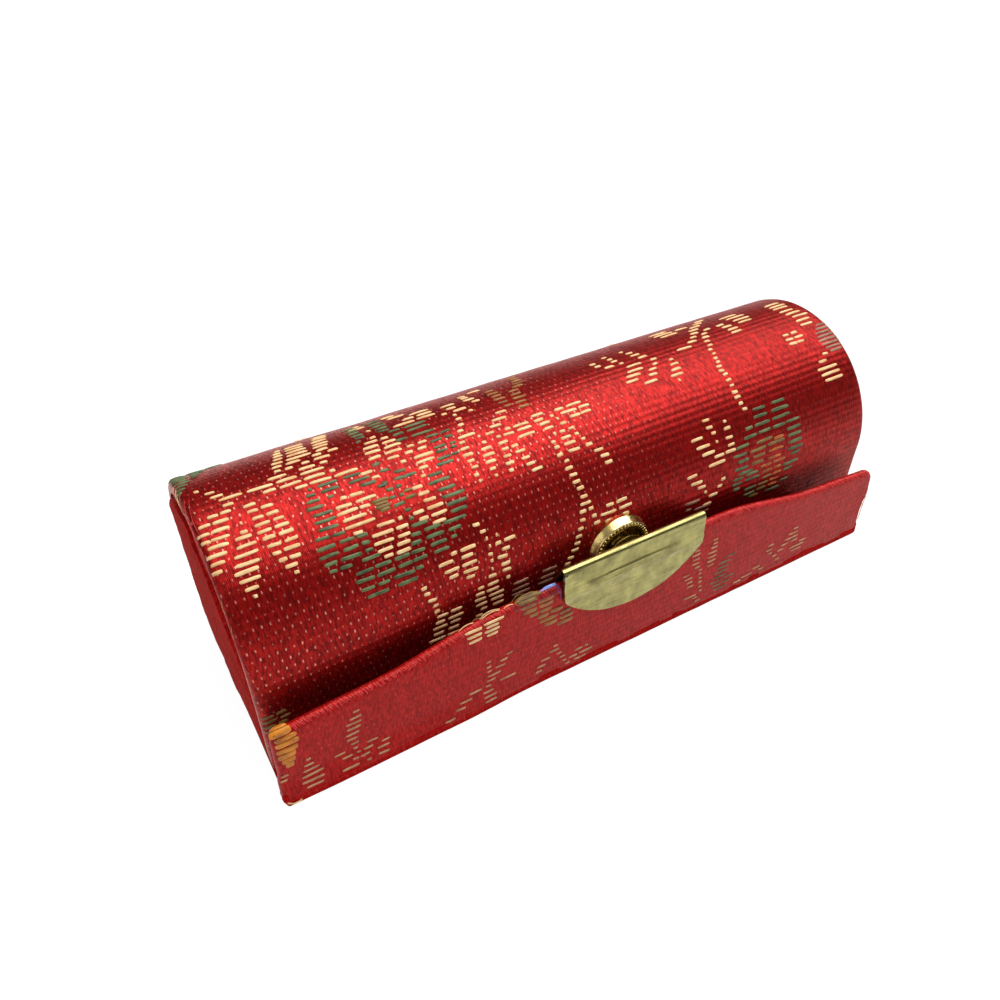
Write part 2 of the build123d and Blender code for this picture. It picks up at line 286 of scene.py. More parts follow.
class Route:
    def __init__(self, points):
        self.points = [Vector(p) for p in points]
        self.marks = [0.0]
        for a, b in zip(self.points, self.points[1:]):
            self.marks.append(self.marks[-1] + (b - a).length)
        self.length = self.marks[-1]

    def at(self, mark):
        mark = min(max(mark, 0), self.length)
        low, high = 0, len(self.marks) - 1
        while high - low > 1:
            middle = (low + high) // 2
            low, high = (middle, high) if self.marks[middle] <= mark else (low, middle)
        share = (mark - self.marks[low]) / max(self.marks[high] - self.marks[low], 1e-9)
        return self.points[low].lerp(self.points[high], share)

    def outward(self, mark, span=0.2):
        travel = self.at(mark + span) - self.at(mark - span)
        return Vector((-travel.y, travel.x)).normalized()

    def stops(self, pitch):
        found = [0.0]
        for low, high in zip(self.marks, self.marks[1:]):
            found += steps(low, high, pitch)[1:] if high - low > pitch else [high]
        return [m for k, m in enumerate(found) if k == 0 or m - found[k - 1] > 1e-6]


def ripple(u, v, size, seed=0.0):
    return noise.noise(Vector((u / size, v / size, seed)))


def ease(value, low, span):    # 0 up to low, then rising to 1 over the span
    return min(1.0, max(0.0, (value - low) / span))


# How a dressed piece is told to the frame

flatSizes = {}


def dress(piece, body, node):
    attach(piece, body)
    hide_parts(node)


def stretchSheet(piece, board, size, **measured):
    flatSizes[piece.name] = [round(side / mm, 1) for side in size]


def stretchFace(piece, board, turned=(0.0, 0.0)):    # sized from its outer face and what is turned over
    area = sum(p.area for p in piece.data.polygons) / 2
    spots = [v.co for v in piece.data.vertices]
    spans = sorted((max(p[k] for p in spots) - min(p[k] for p in spots) for k in range(3)), reverse=True)
    width, length = spans[1] + turned[0] * mm, spans[0] + turned[1] * mm
    while width * length < area:
        width, length = width * 1.02, length * 1.02
    stretchSheet(piece, board, (width, length), area=area)


# Materials

def shade(red, green, blue):
    return tuple(c / 12.92 if c <= 0.04045 else ((c + 0.055) / 1.055) ** 2.4 for c in (red, green,
                                                                                       blue)) + (1.0,)


class Nodes:
    def __init__(self, tree):
        self.tree = tree
        tree.nodes.clear()

    def add(self, kind, inputs=(), **settings):
        node = self.tree.nodes.new(kind)
        for key, value in settings.items():
            setattr(node, key, value)
        for key, value in dict(inputs).items():
            self.put(node.inputs[key], value)
        return node

    def put(self, socket, value):
        if isinstance(value, bpy.types.NodeSocket):
            self.tree.links.new(value, socket)
        else:
            socket.default_value = value

    def math(self, operation, *values):
        node = self.add("ShaderNodeMath", operation=operation)
        for socket, value in zip(node.inputs, values):
            self.put(socket, value)
        return node.outputs[0]

    def plus(self, first, second):
        return self.math("ADD", first, second)

    def times(self, first, second):
        return self.math("MULTIPLY", first, second)

    def ramp(self, value, low, high, start=0.0, end=1.0):
        node = self.add("ShaderNodeMapRange", {"Value": value, "From Min": low, "From Max": high,
                                               "To Min": start, "To Max": end})
        return node.outputs[0]

    def mix(self, share, first, second):
        node = self.add("ShaderNodeMix", data_type="RGBA")
        self.put(node.inputs[0], share)
        self.put(node.inputs[6], first)
        self.put(node.inputs[7], second)
        return node.outputs[2]

    def noise(self, place, scale, detail=2.0, roughness=0.5):
        node = self.add("ShaderNodeTexNoise", {"Vector": place, "Scale": scale, "Detail": detail,
                                               "Roughness": roughness})
        return node.outputs["Fac"]

    def stretch(self, place, across, along):
        node = self.add("ShaderNodeVectorMath", operation="MULTIPLY")
        self.put(node.inputs[0], place)
        self.put(node.inputs[1], (across, along, 1.0))
        return node.outputs[0]


def newGroup(name, inputs, outputs):
    group = bpy.data.node_groups.new(name, "ShaderNodeTree")
    for label, kind, value in inputs:
        socket = group.interface.new_socket(label, in_out="INPUT", socket_type=f"NodeSocket{kind}")
        if value is not None:
            socket.default_value = value
    for label, kind in outputs:
        group.interface.new_socket(label, in_out="OUTPUT", socket_type=f"NodeSocket{kind}")
    nodes = Nodes(group)
    return group, nodes, nodes.add("NodeGroupInput").outputs, nodes.add("NodeGroupOutput").inputs


weave = {"ground": (0.67, 0.09, 0.08), "shadow": (0.40, 0.02, 0.02), "dots": (0.98, 0.66, 0.58),
         "dotPitch": 0.89, "dotRow": 1.09, "dotShift": 0.225, "dotHalf": (0.08, 0.17),
         "dotEdge": (0.105, 0.04),
         "warpPitch": 0.17, "warpFloat": 0.6, "fineGrain": (7.5, 0.8), "broadGrain": (1.1, 0.16),
         "ribPitch": 0.89, "ribWander": 0.9, "roughest": 0.42, "smoothest": 0.27}


def satinWeaveGroup():
    group, n, given, out = newGroup(
        "satinWeave",
        [("Place", "Vector", None), ("Ground", "Color", None), ("Shadow", "Color", None),
         ("Dots", "Color", None),
         ("Dot Amount", "Float", 1.0), ("Rib Amount", "Float", 0.3), ("Sheen Fade Start", "Float", 0.0),
         ("Sheen Fade End", "Float", 10.0)],
        [("Color", "Color"), ("Height", "Float"), ("Roughness", "Float")])
    place = given["Place"]
    u, v = n.add("ShaderNodeSeparateXYZ", {"Vector": place}).outputs[:2]
    # painted sheen: the pin dots' pale glint, full up to Sheen Fade Start and faint past Sheen Fade End
    sheenFade = n.ramp(u, given["Sheen Fade Start"], given["Sheen Fade End"], 1.0, 0.12)

    def cell(value, size):
        return n.math("FLOOR", n.math("DIVIDE", value, size))

    def fromMiddle(value, size):
        share = n.math("FRACT", n.math("DIVIDE", value, size))
        return n.times(n.math("ABSOLUTE", n.math("SUBTRACT", share, 0.5)), size)

    def chance(first, second):
        spot = n.add("ShaderNodeCombineXYZ", {0: first, 1: second}).outputs[0]
        return n.add("ShaderNodeTexWhiteNoise", {"Vector": spot}, noise_dimensions="2D").outputs["Value"]
    # pin dots of the ground: rows of short floats, each of its own length and strength; their pale colour is
    # partly painted sheen, full at the case's left end and faint past Sheen Fade End
    row = cell(v, weave["dotRow"])
    shifted = n.plus(u, n.times(row, weave["dotShift"]))
    luck = chance(cell(shifted, weave["dotPitch"]), row)
    half = n.ramp(luck, 0.0, 1.0, *weave["dotHalf"])
    across = n.ramp(fromMiddle(shifted, weave["dotPitch"]), *weave["dotEdge"])
    along = n.ramp(n.math("SUBTRACT", fromMiddle(v, weave["dotRow"]), half), 0.05, -0.05)
    uneven = n.times(n.ramp(n.noise(place, 0.35, 3.0), 0.35, 0.6, 0.3, 1.0),
                     n.ramp(luck, 0.0, 1.0, 0.45, 1.0))
    dot = n.times(n.times(n.times(across, along), given["Dot Amount"]), n.times(sheenFade, uneven))
    # warp threads: streaks along v, broken into floats
    warp = cell(u, weave["warpPitch"])
    shift = n.times(chance(warp, 3.0), weave["warpFloat"])
    dash = chance(warp, cell(n.plus(v, shift), weave["warpFloat"]))
    fine = n.noise(n.stretch(place, *weave["fineGrain"]), 1.0, 3.0, 0.65)
    broad = n.noise(n.stretch(place, *weave["broadGrain"]), 1.0, 2.0)
    streak = n.plus(n.plus(n.times(fine, 0.5), n.times(broad, 0.14)), n.ramp(dash, 0.0, 1.0, 0.06, 0.3))
    thread = n.math("SUBTRACT", n.math("DIVIDE", u, weave["warpPitch"]), 0.5)
    bundle = n.math("COSINE", n.times(thread, 2 * pi))
    rib = n.math("SINE", n.plus(n.times(v, 2 * pi / weave["ribPitch"]), n.times(broad, weave["ribWander"])))
    cross = n.times(n.times(rib, given["Rib Amount"]), n.ramp(sheenFade, 1.0, 0.12, 1.0, 2.2))
    ground = n.mix(n.ramp(streak, 0.36, 0.64), given["Shadow"], given["Ground"])
    n.put(out["Color"], n.mix(dot, ground, given["Dots"]))
    height = n.plus(n.times(bundle, 0.25), n.times(streak, 1.6))
    n.put(out["Height"], n.plus(height, n.plus(n.times(dot, 0.8), cross)))
    n.put(out["Roughness"], n.ramp(streak, 0.3, 0.7, weave["roughest"], weave["smoothest"]))
    return group


def silkThreadGroup():
    group, n, given, out = newGroup(
        "silkThread",
        [("Place", "Vector", None), ("Light", "Color", None), ("Deep", "Color", None),
         ("Strands", "Float", 9.0)],
        [("Color", "Color"), ("Height", "Float"), ("Roughness", "Float")])
    place = given["Place"]
    across = n.add("ShaderNodeSeparateXYZ", {"Vector": place}).outputs[1]
    wave = n.math("SINE", n.times(across, n.times(given["Strands"], 6.28)))
    strand = n.noise(n.stretch(place, 0.9, 9.0), 1.0, 3.0, 0.6)
    slow = n.noise(place, 0.6, 2.0)
    n.put(out["Color"], n.mix(n.ramp(n.plus(strand, slow), 0.78, 1.15), given["Deep"], given["Light"]))
    n.put(out["Height"], n.plus(n.times(wave, 0.3), strand))
    n.put(out["Roughness"], n.ramp(strand, 0.3, 0.7, 0.5, 0.38))
    return group


def brushedMetalGroup():
    group, n, given, out = newGroup(
        "brushedMetal",
        [("Bright", "Color", None), ("Dull", "Color", None), ("Brush", "Float", 0.3),
         ("Smooth", "Float", 0.2),
         ("Rough", "Float", 0.45)],
        [("Color", "Color"), ("Height", "Float"), ("Roughness", "Float")])
    place = n.add("ShaderNodeTexCoord").outputs["Object"]
    lines = n.add("ShaderNodeMapping", {"Vector": place, "Scale": (120, 2600, 5200), "Rotation": (0, 0.1, 0)})
    brush = n.noise(lines.outputs[0], 1.0, 4.0, 0.7)
    patches = n.noise(place, 420.0, 6.0, 0.7)
    slanted = n.add("ShaderNodeMapping", {"Vector": place, "Scale": (900, 900, 90), "Rotation": (0, 0.9, 0)})
    scratch = n.ramp(n.noise(slanted.outputs[0], 1.0, 2.0, 0.5), 0.66, 0.7)
    worn = n.ramp(n.plus(patches, n.times(brush, 0.5)), 0.6, 0.95)
    n.put(out["Color"], n.mix(worn, given["Bright"], given["Dull"]))
    height = n.plus(n.times(brush, given["Brush"]), n.times(scratch, -0.25))
    n.put(out["Height"], n.plus(height, n.times(patches, 0.15)))
    mixed = n.add("ShaderNodeMix", data_type="FLOAT")
    n.put(mixed.inputs[0], worn)
    n.put(mixed.inputs[2], given["Smooth"])
    n.put(mixed.inputs[3], given["Rough"])
    n.put(out["Roughness"], mixed.outputs[0])
    return group


def paperFibreGroup():
    group, n, given, out = newGroup(
        "paperFibre",
        [("Base", "Color", None), ("Fleck", "Color", None), ("Scale", "Float", 1400.0)],
        [("Color", "Color"), ("Height", "Float")])
    place = n.add("ShaderNodeTexCoord").outputs["Object"]
    fibre = n.noise(place, given["Scale"], 5.0, 0.7)
    speck = n.ramp(n.noise(place, 3100.0, 1.0), 0.62, 0.72)
    tone = n.mix(n.ramp(fibre, 0.3, 0.7, 0.0, 0.5), given["Base"], given["Fleck"])
    n.put(out["Color"], n.mix(n.times(speck, 0.5), tone, given["Fleck"]))
    n.put(out["Height"], fibre)
    return group


groups = {"satin": satinWeaveGroup(), "thread": silkThreadGroup(), "metal": brushedMetalGroup(),
          "paper": paperFibreGroup()}


def newMaterial(name, group, values, relief, plain):
    material = bpy.data.materials.new(name)
    material.use_nodes = True
    n = Nodes(material.node_tree)
    shader = n.add("ShaderNodeBsdfPrincipled", plain)
    n.put(n.add("ShaderNodeOutputMaterial").inputs["Surface"], shader.outputs[0])
    effect = n.add("ShaderNodeGroup", node_tree=groups[group])
    if "Place" in effect.inputs:
        n.put(effect.inputs["Place"], n.add("ShaderNodeUVMap", uv_map="weave").outputs[0])
    for key, value in values.items():
        n.put(effect.inputs[key], value)
    n.put(shader.inputs["Base Color"], effect.outputs["Color"])
    if "Roughness" in effect.outputs:
        n.put(shader.inputs["Roughness"], effect.outputs["Roughness"])
    strength, depth = relief
    bump = n.add("ShaderNodeBump",
                 {"Height": effect.outputs["Height"], "Strength": strength, "Distance": depth * mm})
    n.put(shader.inputs["Normal"], bump.outputs[0])
    return material


def brocadeMaterial(name, cloth):
    values = {"Ground": shade(*cloth["ground"]), "Shadow": shade(*cloth["shadow"]),
              "Dots": shade(*cloth["dots"]),
              "Dot Amount": cloth["dotAmount"], "Rib Amount": cloth["ribs"], "Sheen Fade Start": cloth["sheenFade"][0],
              "Sheen Fade End": cloth["sheenFade"][1]}
    plain = {"Metallic": cloth["lustre"], "Specular IOR Level": cloth["gloss"],
             "Specular Tint": shade(1.0, 0.82, 0.78)}
    return newMaterial(name, "satin", values, (0.5, 0.05), plain)


def threadMaterial(name, light, deep):
    return newMaterial(name, "thread", {"Light": shade(*light), "Deep": shade(*deep)}, (0.35, 0.04),
                       {"Specular IOR Level": 0.35, "Sheen Weight": 0.04, "Sheen Roughness": 0.4})


def metalMaterial(name, bright, dull, brush, smooth, rough):
    return newMaterial(name, "metal", {"Bright": shade(*bright), "Dull": shade(*dull), "Brush": brush,
                                       "Smooth": smooth, "Rough": rough}, (0.3, 0.03), {"Metallic": 1.0})


def paperMaterial(name, base, fleck, scale):
    return newMaterial(name, "paper", {"Base": shade(*base), "Fleck": shade(*fleck), "Scale": scale},
                       (0.4, 0.04), {"Roughness": 0.85})


def glassMaterial():
    material = bpy.data.materials.new("mirrorGlass")
    material.use_nodes = True
    n = Nodes(material.node_tree)
    place = n.add("ShaderNodeTexCoord").outputs["Object"]
    smear = n.noise(place, 90.0, 4.0, 0.6)
    shader = n.add("ShaderNodeBsdfPrincipled", {"Alpha": 0.1, "IOR": 1.5, "Metallic": 0.0})
    n.put(shader.inputs["Base Color"], n.mix(smear, shade(0.62, 0.72, 0.68), shade(0.56, 0.66, 0.62)))
    n.put(shader.inputs["Roughness"], n.ramp(smear, 0.4, 0.75, 0.0, 0.04))
    n.put(n.add("ShaderNodeOutputMaterial").inputs["Surface"], shader.outputs[0])
    return material


cloths = {    # sheenFade: the places along the case between which the dots' painted sheen grows faint; the flap's weaker dots are painted sheen too
    "barrel": {"ground": weave["ground"], "shadow": weave["shadow"], "dots": weave["dots"], "dotAmount": 0.8,
               "ribs": 0.24, "sheenFade": (-2, 12), "lustre": 0.6, "gloss": 0.33},
    "flap": {"ground": (0.69, 0.10, 0.09), "shadow": (0.52, 0.04, 0.04), "dots": (0.86, 0.42, 0.36),
             "dotAmount": 0.3, "ribs": 0.1, "sheenFade": (-20, 4), "lustre": 0.3, "gloss": 0.15},
    "plain": {"ground": (0.69, 0.10, 0.09), "shadow": (0.56, 0.05, 0.05), "dots": weave["dots"],
              "dotAmount": 0.12, "ribs": 0.2, "sheenFade": (200, 300), "lustre": 0.12, "gloss": 0.0},
    "lining": {"ground": (0.66, 0.06, 0.07), "shadow": (0.5, 0.03, 0.04), "dots": (0.7, 0.1, 0.1),
               "dotAmount": 0.0, "ribs": 0.1, "sheenFade": (0, 1), "lustre": 0.4, "gloss": 0.15}}
materials = {
    "barrel": brocadeMaterial("barrelBrocade", cloths["barrel"]),
    "flap": brocadeMaterial("flapBrocade", cloths["flap"]),
    "plain": brocadeMaterial("plainBrocade", cloths["plain"]),
    "lining": brocadeMaterial("satinLining", cloths["lining"]),
    # coral: partly painted highlight on the flap's rolled edge, lighter than the flap's red; also the loose
    # strands at the barrel's left edge
    "coral": threadMaterial("coralSilkAndSheen", (0.84, 0.21, 0.19), (0.62, 0.08, 0.08)),
    "cream": threadMaterial("creamSilk", (0.93, 0.80, 0.58), (0.84, 0.64, 0.42)),
    # dull: the cream silk in a darker copy, painted shade, for the flap's front face and the strands at the
    # barrel's left edge
    "dull": threadMaterial("shadedCreamSilk", (0.76, 0.58, 0.40), (0.60, 0.38, 0.26)),
    "green": threadMaterial("greyGreenSilk", (0.39, 0.45, 0.28), (0.18, 0.25, 0.13)),
    "olive": threadMaterial("oliveSilk", (0.50, 0.40, 0.16), (0.36, 0.24, 0.10)),
    "rust": threadMaterial("rustSilk", (0.74, 0.40, 0.10), (0.50, 0.20, 0.05)),
    # taupe: its own colour for the patch at the right end, and a darker stand-in for cream twig floats above
    # the flap, painted shade
    "taupeAndShade": threadMaterial("taupeAndShadeSilk", (0.64, 0.47, 0.37), (0.44, 0.28, 0.21)),
    "brown": threadMaterial("brownSilk", (0.64, 0.42, 0.18), (0.46, 0.26, 0.09)),
    "orange": threadMaterial("orangeSilk", (0.84, 0.52, 0.10), (0.62, 0.34, 0.04)),
    "violet": threadMaterial("violetSilk", (0.62, 0.40, 0.66), (0.40, 0.20, 0.44)),
    "crimson": threadMaterial("crimsonSilk", (0.64, 0.08, 0.08), (0.36, 0.01, 0.02)),
    "blue": threadMaterial("blueSilk", (0.60, 0.68, 0.92), (0.34, 0.40, 0.72)),
    "clip": metalMaterial("clipBrass", (0.67, 0.64, 0.40), (0.48, 0.45, 0.28), 0.6, 0.24, 0.42),
    "gold": metalMaterial("goldBrass", (0.93, 0.84, 0.58), (0.80, 0.68, 0.40), 0.15, 0.14, 0.3),
    "steel": metalMaterial("washerSteel", (0.72, 0.72, 0.72), (0.55, 0.55, 0.55), 0.3, 0.25, 0.4),
    "silver": metalMaterial("mirrorSilver", (0.93, 0.94, 0.94), (0.88, 0.90, 0.90), 0.0, 0.03, 0.06),
    "board": paperMaterial("greyBoard", (0.62, 0.56, 0.46), (0.48, 0.43, 0.35), 1200.0),
    "tape": paperMaterial("paperTape", (0.88, 0.86, 0.78), (0.78, 0.75, 0.66), 2400.0),
    "glass": glassMaterial(),
}
print("materials made")


# Barrel: a sleeve of brocade, turned in round the rim and over the board's ends

barrel = {"lean": 1.8, "hem": 3.5, "boardInset": 1.45, "rimRound": 0.32, "crest": 37.79, "arcSteps": 92,
          "puff": 0.06, "puffFrom": 6.0, "puffSpan": 3.0, "step": 1.0, "endRound": 0.75, "endGive": 0.25,
          "endFrom": 5.0, "endSpan": 1.5, "liningGap": 0.27}
boreInset = barrel["boardInset"] + clothGauge


def barrelRoute(inset, foot, cuff=None):
    lean = radians(barrel["lean"])

    def wall(radius, z):
        return -(radius * cos(lean) - (barrelAxis - radius * sin(lean) - z) * tan(lean)), z
    radius = barrelRadius - inset
    spring = (-radius * cos(lean), barrelAxis - radius * sin(lean))
    if cuff:
        bore = barrelRadius - boreInset
        front = roundedRoute([wall(bore, foot + cuff), wall(bore, foot), wall(radius, foot), spring],
                             [barrel["rimRound"]] * 2)
    else:
        front = [wall(radius, foot), spring]
    turns = barrel["arcSteps"]
    arc = []
    for k in range(1, turns):
        angle = -lean + (pi + 2 * lean) * k / turns
        arc.append((-radius * cos(angle), barrelAxis + radius * sin(angle)))
    return front + arc + [(-y, z) for y, z in reversed(front)]


barrelLine = Route(barrelRoute(0, rimHeight, barrel["hem"]))
crestMark = barrelLine.length / 2


def barrelMark(s):    # s runs up the front, in millimetres, and over the crest
    return crestMark - barrel["crest"] + s


def barrelSpot(x, mark):
    near = min(mark, barrelLine.length - mark)
    lift = barrel["puff"] * ease(near, barrel["puffFrom"], barrel["puffSpan"]) * (
        ripple(x, mark, 9.0) + 0.5 * ripple(x, mark, 3.5, 4.0))
    edge = barrel["endRound"]
    run = abs(x) - (caseHalf - edge)
    if run > 0:    # round the board's end and in towards the bore
        turn = min(run / edge, pi / 2)
        sink = edge * (1 - cos(turn)) + max(0.0, run - edge * pi / 2)
        lift -= sink * max(barrel["endGive"], ease(near, barrel["endFrom"], barrel["endSpan"]))
        x = copysign(caseHalf - edge + edge * sin(turn), x)
    spot = barrelLine.at(mark) + barrelLine.outward(mark) * lift
    return x, spot.x, spot.y


def barrelPlace(x, s):
    return barrelSpot(x, barrelMark(s))


def makeBarrelCloth():
    edge = barrel["endRound"]
    reach = caseHalf - edge
    tuck = barrel["boardInset"] - edge
    wrap = [edge * t for t in (0.3, 0.6, 0.9, 1.2, pi / 2)]
    wrap += [edge * pi / 2 + tuck * t for t in (0.35, 0.7, 1)]
    columns = [-(reach + w) for w in reversed(wrap)] + steps(-reach, reach, barrel["step"])
    columns += [reach + w for w in wrap]
    cloth = clothSheet("barrelCloth", columns, barrelLine.stops(barrel["step"]), barrelSpot,
                       clothGauge * 0.75, materials["barrel"])
    dress(cloth, "barrel", "barrel_cover")
    stretchSheet(cloth, "barrel_board", (2 * columns[-1] * mm, barrelLine.length * mm))


makeBarrelCloth()


# Ends of the barrel: card panels set just inside the sleeve, with cloth turned over their edges

ends = {"edge": 0.5, "gap": 0.15, "bulge": 0.55, "bulgeFoot": 6.0, "bulgeTop": 5.0, "crumple": 0.1,
        "hem": 3.4,
        "cuff": 3.5, "liningGap": 0.28, "liningShare": 0.999,
        "liningWave": 0.04, "arcSteps": 30}
satin = {"gauge": 0.2, "softGauge": 0.22, "step": 1.5, "seat": 0.03}


def archPlate(inset, foot, depth, edge, hem):
    radius = barrelRadius - inset - edge
    lean = radians(barrel["lean"])
    half = radius * cos(lean)
    turns = ends["arcSteps"]
    columns = [-half * cos(pi * k / turns) for k in range(turns + 1)]

    def top(a):
        return barrelAxis + sqrt(max(0.0, radius ** 2 - min(abs(a), half) ** 2))
    return {"columns": columns, "shares": steps(0, 1, 1 / 24), "low": lambda a: foot + edge, "high": top,
            "edge": edge, "depth": depth, "hem": hem, "closed": True}


def makeEnd(side, label):
    board = nodeBox(f"end_board_{label}")
    depth = caseHalf - min(abs(board[0].x), abs(board[1].x))
    plate = archPlate(barrel["boardInset"] + ends["gap"], rimHeight, depth + ends["gap"], ends["edge"],
                      ends["hem"])
    half = plate["columns"][-1]

    def place(a, b, sink):
        swell = max(0.0, 1 - (a / half) ** 2) * ease(b, rimHeight, ends["bulgeFoot"])
        swell *= ease(barrelAxis + barrelRadius - b, 0, ends["bulgeTop"])
        crumple = ends["crumple"] * (ripple(a, b, 5.0, side) + ripple(a, b, 1.6, side))
        swell = ends["bulge"] * sqrt(swell) + crumple
        return side * (caseHalf - sink + (swell if sink == 0 else 0)), side * a, b
    cloth = wrappedPlate(f"endCloth{label.title()}", plate, place, clothGauge * 0.7, materials["plain"])
    dress(cloth, "barrel", f"end_cover_{label}")
    stretchFace(cloth, f"end_board_{label}", (2 * (depth + ends["hem"]), 2 * (depth + ends["hem"])))
    inner = barrelRadius - boreInset
    floorLine = rimHeight + ends["cuff"]

    def face(u, w):
        y = inner * u * ends["liningShare"]
        top = barrelAxis + sqrt(max(0.0, inner ** 2 - y ** 2))
        x = caseHalf - depth - ends["liningGap"] + ends["liningWave"] * ripple(y, w * top, 4.0)
        return side * x, y * side, floorLine + (top - floorLine) * w
    turns = ends["arcSteps"]
    us = [cos(pi * (turns - k) / turns) for k in range(turns + 1)]
    lining = clothSheet(f"endLining{label.title()}", us, steps(0, 1, 1 / 20), lambda u, w: face(-u, w),
                        satin["softGauge"], materials["lining"])
    dress(lining, "barrel", f"end_lining_{label}")
    stretchFace(lining, f"end_board_{label}")


makeEnd(-1, "left")
makeEnd(1, "right")
print("barrel covered")


# Flap: card plate under brocade, its top and ends rolled over and hemmed behind

flap = {"crown": 18.0, "shoulder": 31.0, "shoulderDrop": 2.7, "endDrop": 3.75, "foot": 1.35, "corner": 1.0,
        "hem": 2.9, "edgeSlack": 0.005, "cornerSteps": (0.0, 0.08, 0.25, 0.5, 0.75), "liningFoot": 0.25,
        "smooth": (-3.0, -1.5, 0.0, 1.5, 3.0), "wave": 0.07, "waveFrom": 1.6, "waveSpan": 3.0,
        "clipClear": 10.0,
        "clipSpan": 4.0,
        "rightEnd": ((0.5, 0.0), (1.8, -0.1), (5.0, -0.3), (6.5, -0.2), (7.9, 0.3), (10.2, 0.05),
                     (13.0, -0.2)),
        "leftEnd": ((0.0, 0.15), (0.5, 0.1), (1.5, 0.4), (4.0, 0.35), (5.4, 0.1), (12.5, 0.0)),
        "endReach": 7.0,
        "swell": 0.55, "swellAlong": ((-45.0, 0.9), (-38.0, 1.0), (-24.0, 0.75), (-12.0, 0.0)),
        "swellUp": ((0.0, 0.9), (0.9, 1.0), (4.5, 0.0))}
flapFront = flapLow.y
flapDepth = flapHigh.y - flapLow.y
flapEdge = flapDepth / 2 - flap["edgeSlack"]
flapTopHeight = flapHigh.z
clipMiddle = (clipLow.x + clipHigh.x) / 2


def between(value, pairs):    # smooth way through (place, amount) pairs
    if value <= pairs[0][0]:
        return pairs[0][1]
    for (a, p), (b, q) in zip(pairs, pairs[1:]):
        if value <= b:
            t = (value - a) / (b - a)
            return p + (q - p) * t * t * (3 - 2 * t)
    return pairs[-1][1]


def flapTop(x):
    line = ((0, 0), (flap["crown"], 0), (flap["shoulder"], flap["shoulderDrop"]), (caseHalf, flap["endDrop"]))

    def drop(reach):
        for (a, p), (b, q) in zip(line, line[1:]):
            if reach <= b:
                return p + (q - p) * (reach - a) / (b - a)
        return line[-1][1]
    return flapTopHeight - sum(drop(abs(x + k)) for k in flap["smooth"]) / len(flap["smooth"])


def creaseSwell(x, z):
    return flap["swell"] * between(x, flap["swellAlong"]) * between(z, flap["swellUp"])


def flapPlace(x, z, sink=0.0):
    pairs = flap["rightEnd"] if x > 0 else flap["leftEnd"]
    pull = max(0.0, 1 - (caseHalf - abs(x)) / flap["endReach"]) ** 2
    free = ease(z, flap["waveFrom"], flap["waveSpan"])
    free *= ease(abs(x - clipMiddle), flap["clipClear"], flap["clipSpan"])
    wave = flap["wave"] * free * (ripple(x, z, 11.0, 2.0) + 0.4 * ripple(x, z, 4.0, 5.0))
    swell = creaseSwell(x, z) * max(0.0, min(1.0, 1 - sink / flapDepth))
    return x + copysign(pull, x) * between(z, pairs), flapFront + sink - wave - swell, z


def makeFlap():
    edge = flapEdge
    reach = caseHalf - edge
    corner, near = flap["corner"], flap["cornerSteps"]
    columns = [d - reach for d in near] + steps(corner - reach, reach - corner, 1.0)
    columns += [reach - d for d in reversed(near)]

    def high(a):
        gap = reach - abs(a)
        drop = corner - sqrt(max(0.0, corner ** 2 - (corner - gap) ** 2)) if gap < corner else 0.0
        return flapTop(a) - edge - drop
    plate = {"columns": columns, "shares": steps(0, 1, 1 / 16), "low": lambda a: flap["foot"], "high": high,
             "edge": edge, "depth": flapDepth, "hem": flap["hem"], "closed": False}
    cloth = wrappedPlate("flapCloth", plate, flapPlace, clothGauge * 0.75, materials["flap"])
    dress(cloth, "flap", "flap_cover")
    stretchFace(cloth, "flap_board", (flapDepth + flap["hem"], 2 * (flapDepth + flap["hem"])))
    high = nodeBox("flap_lining")[1]
    reach = high.x - 0.02
    foot = flap["foot"] + flap["liningFoot"]

    def face(u, w):
        top = flapTop(-u) - flap["hem"] - edge
        z = foot + (top - foot) * w
        return -u, high.y - 0.02 + satin["seat"] * ripple(-u, z, 5.0), z
    lining = clothSheet("flapLining", steps(-reach, reach, satin["step"]), steps(0, 1, 1 / 10), face,
                        satin["gauge"], materials["lining"])
    dress(lining, "flap", "flap_lining")
    stretchFace(lining, "flap_board")


makeFlap()


# Lid: the flat card below, with its cloth hemmed on top round a satin window

lid = {"edge": 0.5, "lift": 0.1, "hem": 3.0}


def lidPlace(x, b, sink=0.0):
    return x, -b, lid["lift"] + sink


def makeLid():
    edge = lid["edge"]
    reach = caseHalf - edge
    plate = {"columns": steps(-reach, reach, satin["step"]), "shares": steps(0, 1, 1 / 20),
             "low": lambda a: -lidHigh.y + edge, "high": lambda a: -lidLow.y - edge,
             "edge": edge, "depth": lidHigh.z - lid["lift"], "hem": lid["hem"], "closed": True}
    cloth = wrappedPlate("lidCloth", plate, lidPlace, clothGauge * 0.65, materials["plain"])
    dress(cloth, "lid", "lid_cover")
    stretchFace(cloth, "lid_board", (2 * (plate["depth"] + lid["hem"]), 2 * (plate["depth"] + lid["hem"])))
    low, high = nodeBox("lid_lining")
    step, seat = satin["step"], satin["seat"]
    lining = clothSheet("lidLining", steps(low.x, high.x, step), steps(low.y, high.y, step),
                        lambda x, y: (x, y, high.z - seat + seat * ripple(x, y, 6.0)), satin["gauge"],
                        materials["lining"])
    dress(lining, "lid", "lid_lining")
    stretchFace(lining, "lid_board")


makeLid()


# Barrel's lining, just inside its card

